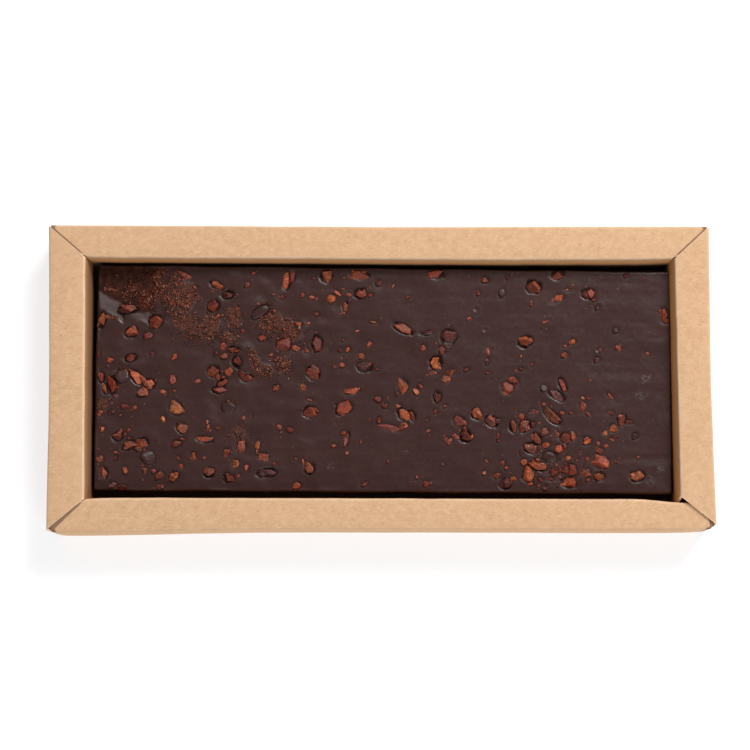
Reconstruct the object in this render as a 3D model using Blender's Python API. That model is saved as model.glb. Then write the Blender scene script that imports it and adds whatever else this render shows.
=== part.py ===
"""Dark chocolate bar with cocoa nibs, lying face up in its folded card case. Metres, +Z up.

The origin is on the table under the middle of the case. +X runs along the bar and +Y to its back.
"""

import math
import random

import bmesh
import bpy
from mathutils import Euler, Vector

MM = 0.001

# Card case: four folded rims round a flat floor
CARD = 0.5 * MM
RIM_TOP = 15.7 * MM
UNDER_RIM_DROP = 0.35 * MM
FOLD_RADIUS = 0.75 * MM
RIM_CROWN = 0.12 * MM
MITRE_SLIT = 0.3 * MM
WALL_START = 0.3 * MM
FLOOR_INSET = 0.25 * MM
FLOOR_CORNER = 1.2 * MM
FLARE_LIFT = 0.3 * MM
TAB_REACH = 7.0 * MM
TAB_THICKNESS = 0.4 * MM
TAB_TOP = 14.4 * MM
# The case's rims were laid out round a point this far in front of its middle
CASE_PLACE = (0.0 * MM, 0.41 * MM)

# Plan corners of the rims, (x, y) in millimetres: outer edge, then inner edge
LEFT_RIM = (((-90.35, 41.5), (-89.5, -41.5)), ((-80.0, 32.75), (-79.0, -33.1)))
RIGHT_RIM = (((90.35, -40.1), (89.95, 41.25)), ((81.1, -32.4), (80.0, 32.3)))
BACK_RIM = (((89.6, 41.35), (-90.0, 41.5)), ((79.6, 32.3), (-79.7, 32.75)))
FRONT_RIM = (((-88.4, -41.6), (88.9, -41.1)), ((-78.9, -33.0), (87.5, -33.45)))

# Chocolate bar: poured face up, moulded face down
BAR_LENGTH = 156.8 * MM
BAR_WIDTH = 61.3 * MM
BAR_NARROWING = 0.45 * MM
BAR_BOTTOM = 0.8 * MM
BAR_TOP = 10.55 * MM
BAR_CENTRE = (1.1 * MM, 0.1 * MM)
BAR_TURN = math.radians(-0.55)
CORNER_PULL = 0.9 * MM
DRAFT = 1.5 * MM
FOOT_BEVEL = 1.0 * MM
TOP_EDGE = 0.45 * MM
RELIEF = 0.1 * MM
CELLS_LONG = 36
CELLS_ACROSS = 14

# Cocoa nibs: fragments frozen into the poured face
NIB_SEED = 11
NIB_COUNT = 132
NIB_LARGEST = 4.3 * MM
NIB_SMALLEST = 2.0 * MM
NIB_PROUD = 0.85 * MM
EDGE_CLEARANCE = 3.2 * MM
# Where the nibs crowd: (x, y, spread, share) in millimetres from the bar's middle
NIB_CROWDS = (
    (48.0, -19.0, 11.0, 0.22),
    (-62.0, -16.0, 14.0, 0.2),
    (-58.0, 8.0, 15.0, 0.16),
    (17.0, -4.0, 14.0, 0.14),
    (-12.0, 16.0, 20.0, 0.12),
    (0.0, -2.0, 55.0, 0.16),
)


def clear_scene():
    for found in list(bpy.data.objects):
        bpy.data.objects.remove(found, do_unlink=True)


def material(name, colour, roughness):
    made = bpy.data.materials.new(name)
    made.use_nodes = True
    shader = made.node_tree.nodes["Principled BSDF"]
    shader.inputs["Base Color"].default_value = (*colour, 1.0)
    shader.inputs["Roughness"].default_value = roughness
    shader.inputs["Metallic"].default_value = 0.0
    return made


def add_object(name, mesh_maker, look=None, collection=None):
    """A new object from a bmesh, with its faces turned outwards."""
    bmesh.ops.recalc_face_normals(mesh_maker, faces=mesh_maker.faces)
    mesh = bpy.data.meshes.new(name)
    mesh_maker.to_mesh(mesh)
    mesh_maker.free()
    made = bpy.data.objects.new(name, mesh)
    (collection or bpy.context.scene.collection).objects.link(made)
    if look:
        mesh.materials.append(look)
    return made


def apply_union(target, operands):
    """Joins every object of a collection to the target, then removes them."""
    joined = target.modifiers.new("Join", "BOOLEAN")
    joined.operation = "UNION"
    joined.operand_type = "COLLECTION"
    joined.collection = operands
    joined.solver = "EXACT"
    bpy.context.view_layer.update()
    graph = bpy.context.evaluated_depsgraph_get()
    result = bpy.data.meshes.new_from_object(target.evaluated_get(graph))
    target.modifiers.clear()
    target.data = result
    for used in list(operands.objects):
        bpy.data.objects.remove(used, do_unlink=True)
    bpy.data.collections.remove(operands)


def new_collection(name):
    made = bpy.data.collections.new(name)
    bpy.context.scene.collection.children.link(made)
    return made


# Folded rims


def rim_section(width, top):
    """Outer and inner skins of a rim's section as (distance in from the outer face, height)."""
    outer = [(0.0, WALL_START)]
    inner = [(CARD, WALL_START)]
    steps = 3
    small = FOLD_RADIUS - CARD
    for i in range(steps + 1):
        turn = math.pi / 2 * i / steps
        across, up = 1 - math.cos(turn), math.sin(turn)
        outer.append((FOLD_RADIUS * across, top - FOLD_RADIUS + FOLD_RADIUS * up))
        inner.append((CARD + small * across, top - FOLD_RADIUS + small * up))
    outer.append((width / 2, top + RIM_CROWN))
    inner.append((width / 2, top - CARD + RIM_CROWN))
    for i in range(steps, -1, -1):
        turn = math.pi / 2 * i / steps
        across, up = 1 - math.cos(turn), math.sin(turn)
        outer.append((width - FOLD_RADIUS * across, top - FOLD_RADIUS + FOLD_RADIUS * up))
        inner.append((width - CARD - small * across, top - FOLD_RADIUS + small * up))
    outer.append((width, WALL_START))
    inner.append((width - CARD, WALL_START))
    return outer, inner


def plain(along):
    return 0.0


def front_outer_bow(along):
    """The near edge swells towards its left end and turns back at both tips, in millimetres."""
    swell = 0.75 * math.exp(-(((along - 0.03) / 0.16) ** 2))
    tips = -0.75 * math.exp(-along / 0.008) - 0.45 * math.exp(-(1 - along) / 0.02)
    return swell + tips


def front_inner_bow(along):
    """The near rim's inner edge draws back at both ends, most at the right one, in millimetres."""
    ease = min(max((along - 0.89) / 0.07, 0.0), 1.0)
    return 0.8 * ease * ease * (3 - 2 * ease) + 0.3 * math.exp(-along / 0.03)


def back_inner_bow(along):
    return -0.18 * math.sin(math.pi * along)


def dip(amount, length):
    """A height change that fades with distance from the end of a rim, in millimetres."""
    return lambda along: amount * math.exp(-(((1 - along) / length) ** 2))


def rim(name, corners, top, outer_bow, inner_bow, rise, collection):
    """One rim: an outer wall, a crowned top and an inner wall, folded from one strip and cut to mitres."""
    (outer_a, outer_b), (inner_a, inner_b) = corners
    outer_a, outer_b, inner_a, inner_b = (Vector(p) for p in (outer_a, outer_b, inner_a, inner_b))
    run = (outer_b - outer_a).normalized()
    # Pointing from the inner edge out
    out = Vector((run.y, -run.x))
    if out.dot(outer_a - inner_a) < 0:
        out = -out
    slit = run * (MITRE_SLIT / MM * 0.71)
    stations = [0.0, 0.012, 0.03, 0.07, 0.14, 0.25, 0.4, 0.6, 0.75, 0.86, 0.91, 0.945, 0.975, 0.988, 1.0]
    shape = bmesh.new()
    rings = []
    for along in stations:
        from_a = outer_a + slit
        to_b = outer_b - slit
        inner_from = inner_a + slit
        inner_to = inner_b - slit
        edge = from_a.lerp(to_b, along) + out * outer_bow(along)
        fold = inner_from.lerp(inner_to, along) + out * inner_bow(along)
        width = (edge - fold).dot(out) * MM
        outer, inner = rim_section(width, top + rise(along) * MM)
        ring = []
        for across, height in outer + inner[::-1]:
            place = edge.lerp(fold, across / width) * MM
            ring.append(shape.verts.new((place.x, place.y, height)))
        rings.append(ring)
    count = len(rings[0])
    half = count // 2
    for first, second in zip(rings, rings[1:]):
        for i in range(count):
            j = (i + 1) % count
            shape.faces.new((first[i], first[j], second[j], second[i]))
    for ring in (rings[0], rings[-1]):
        for i in range(half - 1):
            shape.faces.new((ring[i], ring[i + 1], ring[count - 2 - i], ring[count - 1 - i]))
    return add_object(name, shape, collection=collection)


def floor_plate(look):
    """The floor: a flat sheet whose underside carries the case."""
    inset = FLOOR_INSET / MM
    left = LEFT_RIM[0]
    right = RIGHT_RIM[0]
    corners = (
        Vector((left[0][0] + inset, BACK_RIM[0][1][1] - inset)),
        Vector((left[1][0] + inset, FRONT_RIM[0][0][1] + inset)),
        Vector((right[0][0] - inset, FRONT_RIM[0][1][1] + inset)),
        Vector((right[1][0] - inset, BACK_RIM[0][0][1] - inset)),
    )
    cut = FLOOR_CORNER / MM
    outline = []
    for i, corner in enumerate(corners):
        before = (corners[i - 1] - corner).normalized()
        after = (corners[(i + 1) % 4] - corner).normalized()
        outline.append(corner + before * cut)
        outline.append(corner + (before + after) * cut * 0.3)
        outline.append(corner + after * cut)
    shape = bmesh.new()
    low = [shape.verts.new((p.x * MM, p.y * MM, 0.0)) for p in outline]
    bottom = shape.faces.new(low)
    raised = bmesh.ops.extrude_face_region(shape, geom=[bottom])
    top = [item for item in raised["geom"] if isinstance(item, bmesh.types.BMVert)]
    bmesh.ops.translate(shape, verts=top, vec=(0, 0, CARD))
    return add_object("card_case", shape, look)


def corner_tab(name, corner, along_x, along_y, collection):
    """A glued tab bent round the inside of a corner, tying two outer walls together."""
    deep = (CARD * 0.9) / MM
    thick = TAB_THICKNESS / MM
    reach = TAB_REACH / MM
    bend = 0.8
    path = ((reach, 0.0), (bend, 0.0), (bend * 0.29, bend * 0.29), (0.0, bend), (0.0, reach))
    inward = ((0.0, 1.0), (0.3, 1.0), (0.71, 0.71), (1.0, 0.3), (1.0, 0.0))
    shape = bmesh.new()
    plan = []
    for grow in (deep, deep + thick):
        side = []
        for (x, y), (in_x, in_y) in zip(path, inward):
            px = corner[0] + along_x * (x + in_x * grow)
            py = corner[1] + along_y * (y + in_y * grow)
            side.append((px * MM, py * MM))
        plan += side if grow == deep else side[::-1]
    low = [shape.verts.new((x, y, WALL_START)) for x, y in plan]
    high = [shape.verts.new((x, y, TAB_TOP)) for x, y in plan]
    count, half = len(plan), len(path)
    for i in range(count):
        j = (i + 1) % count
        shape.faces.new((low[i], low[j], high[j], high[i]))
    for level in (low, high):
        for i in range(half - 1):
            shape.faces.new((level[i], level[i + 1], level[count - 2 - i], level[count - 1 - i]))
    return add_object(name, shape, collection=collection)


def build_case():
    kraft = material("kraft card", (0.72, 0.48, 0.28), 0.85)
    case = floor_plate(kraft)
    rims = new_collection("rims")
    under = RIM_TOP - UNDER_RIM_DROP
    rim("left_rim", LEFT_RIM, RIM_TOP, plain, plain, plain, rims)
    rim("right_rim", RIGHT_RIM, RIM_TOP, plain, plain, lambda s: FLARE_LIFT / MM * math.exp(-((s / 0.25) ** 2)), rims)
    rim("back_rim", BACK_RIM, under, plain, back_inner_bow, plain, rims)
    rim("front_rim", FRONT_RIM, under, front_outer_bow, front_inner_bow, dip(-0.35, 0.06), rims)
    corner_tab("tab_back_left", (-90.15, 41.45), 1, -1, rims)
    corner_tab("tab_back_right", (89.9, 41.3), -1, -1, rims)
    corner_tab("tab_front_left", (-89.45, -41.95), 1, 1, rims)
    corner_tab("tab_front_right", (90.25, -41.25), -1, 1, rims)
    apply_union(case, rims)
    case.location = (*CASE_PLACE, 0.0)
    case.data.materials.clear()
    case.data.materials.append(kraft)
    case.data.set_sharp_from_angle(angle=math.radians(35))
    return case


# Chocolate bar


def face_relief(x, y):
    """Slow waves that the spatula left in the poured face, x and y in metres."""
    a, b = x / MM, y / MM
    waves = math.sin(a * 0.071 + 0.6) * math.cos(b * 0.11 - 0.4)
    waves += 0.6 * math.sin(a * 0.19 + b * 0.05 + 1.9) * math.cos(b * 0.23 + 0.8)
    return RELIEF * 0.6 * waves


def edge_wander(along):
    return 0.12 * MM * (math.sin(along * 17.0) + 0.6 * math.sin(along * 41.0 + 1.3))


def bar_plan(u, v, grow):
    """A point of the bar's plan for u and v from -1 to 1, its outline grown by an amount."""
    half_width = BAR_WIDTH / 2 - BAR_NARROWING * u / 2
    x = u * (BAR_LENGTH / 2 + grow + edge_wander(v) * abs(u) ** 6)
    y = v * (half_width + grow + edge_wander(2 * u + v) * abs(v) ** 6)
    if abs(u) == 1 and abs(v) == 1:
        x -= math.copysign(CORNER_PULL, u)
        y -= math.copysign(CORNER_PULL, v)
    return x, y


def build_slab(look):
    shape = bmesh.new()
    grid = []
    for j in range(CELLS_ACROSS + 1):
        row = []
        for i in range(CELLS_LONG + 1):
            u, v = 2 * i / CELLS_LONG - 1, 2 * j / CELLS_ACROSS - 1
            x, y = bar_plan(u, v, -TOP_EDGE)
            row.append(shape.verts.new((x, y, BAR_TOP + face_relief(x, y))))
        grid.append(row)
    for j in range(CELLS_ACROSS):
        for i in range(CELLS_LONG):
            shape.faces.new((grid[j][i], grid[j][i + 1], grid[j + 1][i + 1], grid[j + 1][i]))
    rim_uv = [(2 * i / CELLS_LONG - 1, -1) for i in range(CELLS_LONG)]
    rim_uv += [(1, 2 * j / CELLS_ACROSS - 1) for j in range(CELLS_ACROSS)]
    rim_uv += [(1 - 2 * i / CELLS_LONG, 1) for i in range(CELLS_LONG)]
    rim_uv += [(-1, 1 - 2 * j / CELLS_ACROSS) for j in range(CELLS_ACROSS)]
    upper = [grid[0][i] for i in range(CELLS_LONG)]
    upper += [grid[j][-1] for j in range(CELLS_ACROSS)]
    upper += [grid[-1][CELLS_LONG - i] for i in range(CELLS_LONG)]
    upper += [grid[CELLS_ACROSS - j][0] for j in range(CELLS_ACROSS)]
    levels = (
        (-0.1 * MM, BAR_TOP - 0.22 * MM, 1.0),
        (0.0, BAR_TOP - 0.7 * MM, 0.5),
        (-DRAFT, BAR_BOTTOM + 1.1 * MM, 0.0),
        (-DRAFT - FOOT_BEVEL, BAR_BOTTOM, 0.0),
    )
    for grow, height, follow in levels:
        ring = []
        for u, v in rim_uv:
            x, y = bar_plan(u, v, grow)
            ring.append(shape.verts.new((x, y, height + follow * face_relief(x, y))))
        for i in range(len(ring)):
            j = (i + 1) % len(ring)
            shape.faces.new((upper[i], ring[i], ring[j], upper[j]))
        upper = ring
    shape.faces.new(upper)
    return add_object("chocolate_bar", shape, look)


def nib_places(chance):
    """Places and sizes of the nibs, largest first, crowding where the real bar's nibs do."""
    placed = []
    for index in range(NIB_COUNT):
        share = index / (NIB_COUNT - 1)
        size = NIB_LARGEST + (NIB_SMALLEST - NIB_LARGEST) * share**0.7
        for attempt in range(200):
            pick = chance.random()
            for mid_x, mid_y, spread, part in NIB_CROWDS:
                pick -= part
                if pick <= 0:
                    break
            x = chance.gauss(mid_x, spread) * MM
            y = chance.gauss(mid_y, spread * 0.7) * MM
            if abs(x) > BAR_LENGTH / 2 - EDGE_CLEARANCE or abs(y) > BAR_WIDTH / 2 - EDGE_CLEARANCE:
                continue
            if all(math.hypot(x - a, y - b) > 0.62 * (size + c) for a, b, c in placed):
                placed.append((x, y, size))
                break
    return placed


def nib(index, x, y, size, chance, collection):
    """One broken fragment: a lumpy closed form with flat facets, a third of it above the chocolate."""
    shape = bmesh.new()
    bmesh.ops.create_icosphere(shape, subdivisions=1, radius=1.0)
    long = size / 2
    wide = long * chance.uniform(0.55, 0.85)
    tall = min(long * chance.uniform(0.5, 0.8), NIB_PROUD / 0.75)
    for vert in shape.verts:
        vert.co *= chance.uniform(0.82, 1.1)
        vert.co = Vector((vert.co.x * long, vert.co.y * wide, vert.co.z * tall))
    turn = Euler((chance.uniform(-0.3, 0.3), chance.uniform(-0.3, 0.3), chance.uniform(0, math.tau)))
    bmesh.ops.rotate(shape, verts=shape.verts, cent=(0, 0, 0), matrix=turn.to_matrix())
    high = max(vert.co.z for vert in shape.verts)
    proud = min(NIB_PROUD, high * chance.uniform(0.55, 0.8))
    base = BAR_TOP + face_relief(x, y) + proud - high
    bmesh.ops.translate(shape, verts=shape.verts, vec=(x, y, base))
    return add_object(f"nib_{index}", shape, collection=collection)


def build_bar():
    chocolate = material("dark chocolate", (0.055, 0.032, 0.028), 0.42)
    bar = build_slab(chocolate)
    chance = random.Random(NIB_SEED)
    nibs = new_collection("nibs")
    for index, (x, y, size) in enumerate(nib_places(chance)):
        nib(index, x, y, size, chance, nibs)
    apply_union(bar, nibs)
    bar.data.materials.clear()
    bar.data.materials.append(chocolate)
    bar.data.set_sharp_from_angle(angle=math.radians(28))
    bar.location = (*BAR_CENTRE, 0.0)
    bar.rotation_euler = (0.0, 0.0, BAR_TURN)
    return bar


clear_scene()
build_case()
build_bar()
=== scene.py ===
"""Looks of a dark chocolate bar with cocoa nibs in its folded card case, on a white table.

Lengths are in millimetres until a mesh is made, and in metres on every object.
"""

import math

import bmesh
import bpy
import numpy as np
from mathutils import Euler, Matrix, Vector


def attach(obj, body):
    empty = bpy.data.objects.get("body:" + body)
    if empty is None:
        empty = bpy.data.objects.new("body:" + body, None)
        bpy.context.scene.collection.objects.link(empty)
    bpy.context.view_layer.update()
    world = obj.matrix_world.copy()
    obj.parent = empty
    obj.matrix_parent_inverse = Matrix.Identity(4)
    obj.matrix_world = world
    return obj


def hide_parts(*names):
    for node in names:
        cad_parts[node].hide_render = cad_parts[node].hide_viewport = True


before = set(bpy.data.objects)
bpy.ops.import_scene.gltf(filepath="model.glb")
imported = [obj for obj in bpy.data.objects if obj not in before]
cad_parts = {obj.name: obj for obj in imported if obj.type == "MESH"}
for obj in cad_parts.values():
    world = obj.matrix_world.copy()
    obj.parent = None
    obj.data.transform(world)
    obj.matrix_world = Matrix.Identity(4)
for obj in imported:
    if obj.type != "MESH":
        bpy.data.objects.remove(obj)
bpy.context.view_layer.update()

MM = 0.001

# Camera: looks down, a little from the front
TILT = math.radians(7.2)
FOCAL = 2100.0
PICTURE = 750
LENS = 100.8
SENSOR = 36.0
VIEW_HEIGHT = 563.5
AIM = (-1.275, 0.755, 15.7)
# One pixel of the picture on the poured face, which lies a little below the aim
PIXEL = VIEW_HEIGHT / (FOCAL * math.cos(TILT)) * 1.009

# Card case
CARD = 0.5
RIM_TOP = 15.7
UNDER_RIM_DROP = 0.35
FOLD_RADIUS = 0.75
FOOT_RADIUS = 0.9
RIM_CROWN = 0.12
# How far the near and far rims run on under the other two
UNDERLAP = 1.1
FLARE_LIFT = 0.15
STATION_STEP = 1.1
SHARP_ANGLE = math.radians(50)
# The inner walls are painted darker from this height down, over this much: painted shade deep in the case
SHADE_TOP = 10.6
SHADE_FADE = 2.4
# Every corner point below is moved this much to the back
CASE_SHIFT = 0.41
# The outer corners of a rim, then its inner ones
LEFT_RIM = (((-90.35, 41.5), (-89.5, -41.5)), ((-80.2, 32.75), (-79.4, -33.1)))
RIGHT_RIM = (((90.35, -40.1), (89.95, 41.25)), ((80.8, -32.4), (80.35, 32.3)))
BACK_RIM = (((89.6, 41.35), (-90.0, 41.75)), ((79.6, 32.3), (-79.7, 32.9)))
FRONT_RIM = (((-88.4, -41.6), (88.9, -41.6)), ((-78.9, -32.8), (87.5, -33.3)))
# The inner walls lean in towards the bar by this much
LEAN_SIDES = 1.25
LEAN_BACK = 0.5
LEAN_FRONT = 0.45

# Chocolate bar
BAR_LENGTH = 156.8
BAR_WIDTH = 61.3
BAR_NARROWING = 0.45
BAR_BOTTOM = 0.8
BAR_TOP = 10.55
BAR_CENTRE = (1.1, 0.1)
BAR_TURN = math.radians(-0.55)
BAR_CORNER = 0.9
BAR_DRAFT = 1.5
BAR_FOOT = 1.0
EDGE_ROUND = 0.55
GRID_STEP = 0.36
# Rings down the sides: how far each stands out of the plan, and its depth below the edge of the face
# The last one lies at the bottom and has no depth of its own
WALL_RINGS = (
    (0.10, 0.35), (0.12, 1.0), (-0.2, 2.6), (-0.6, 4.6), (-1.0, 6.6),
    (-BAR_DRAFT, 8.2), (-BAR_DRAFT - 0.3, 8.95), (-BAR_DRAFT - BAR_FOOT, 0.0),
)
UNDERSIDE_RINGS = (0.9, 0.6, 0.3, 0.02)

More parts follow.
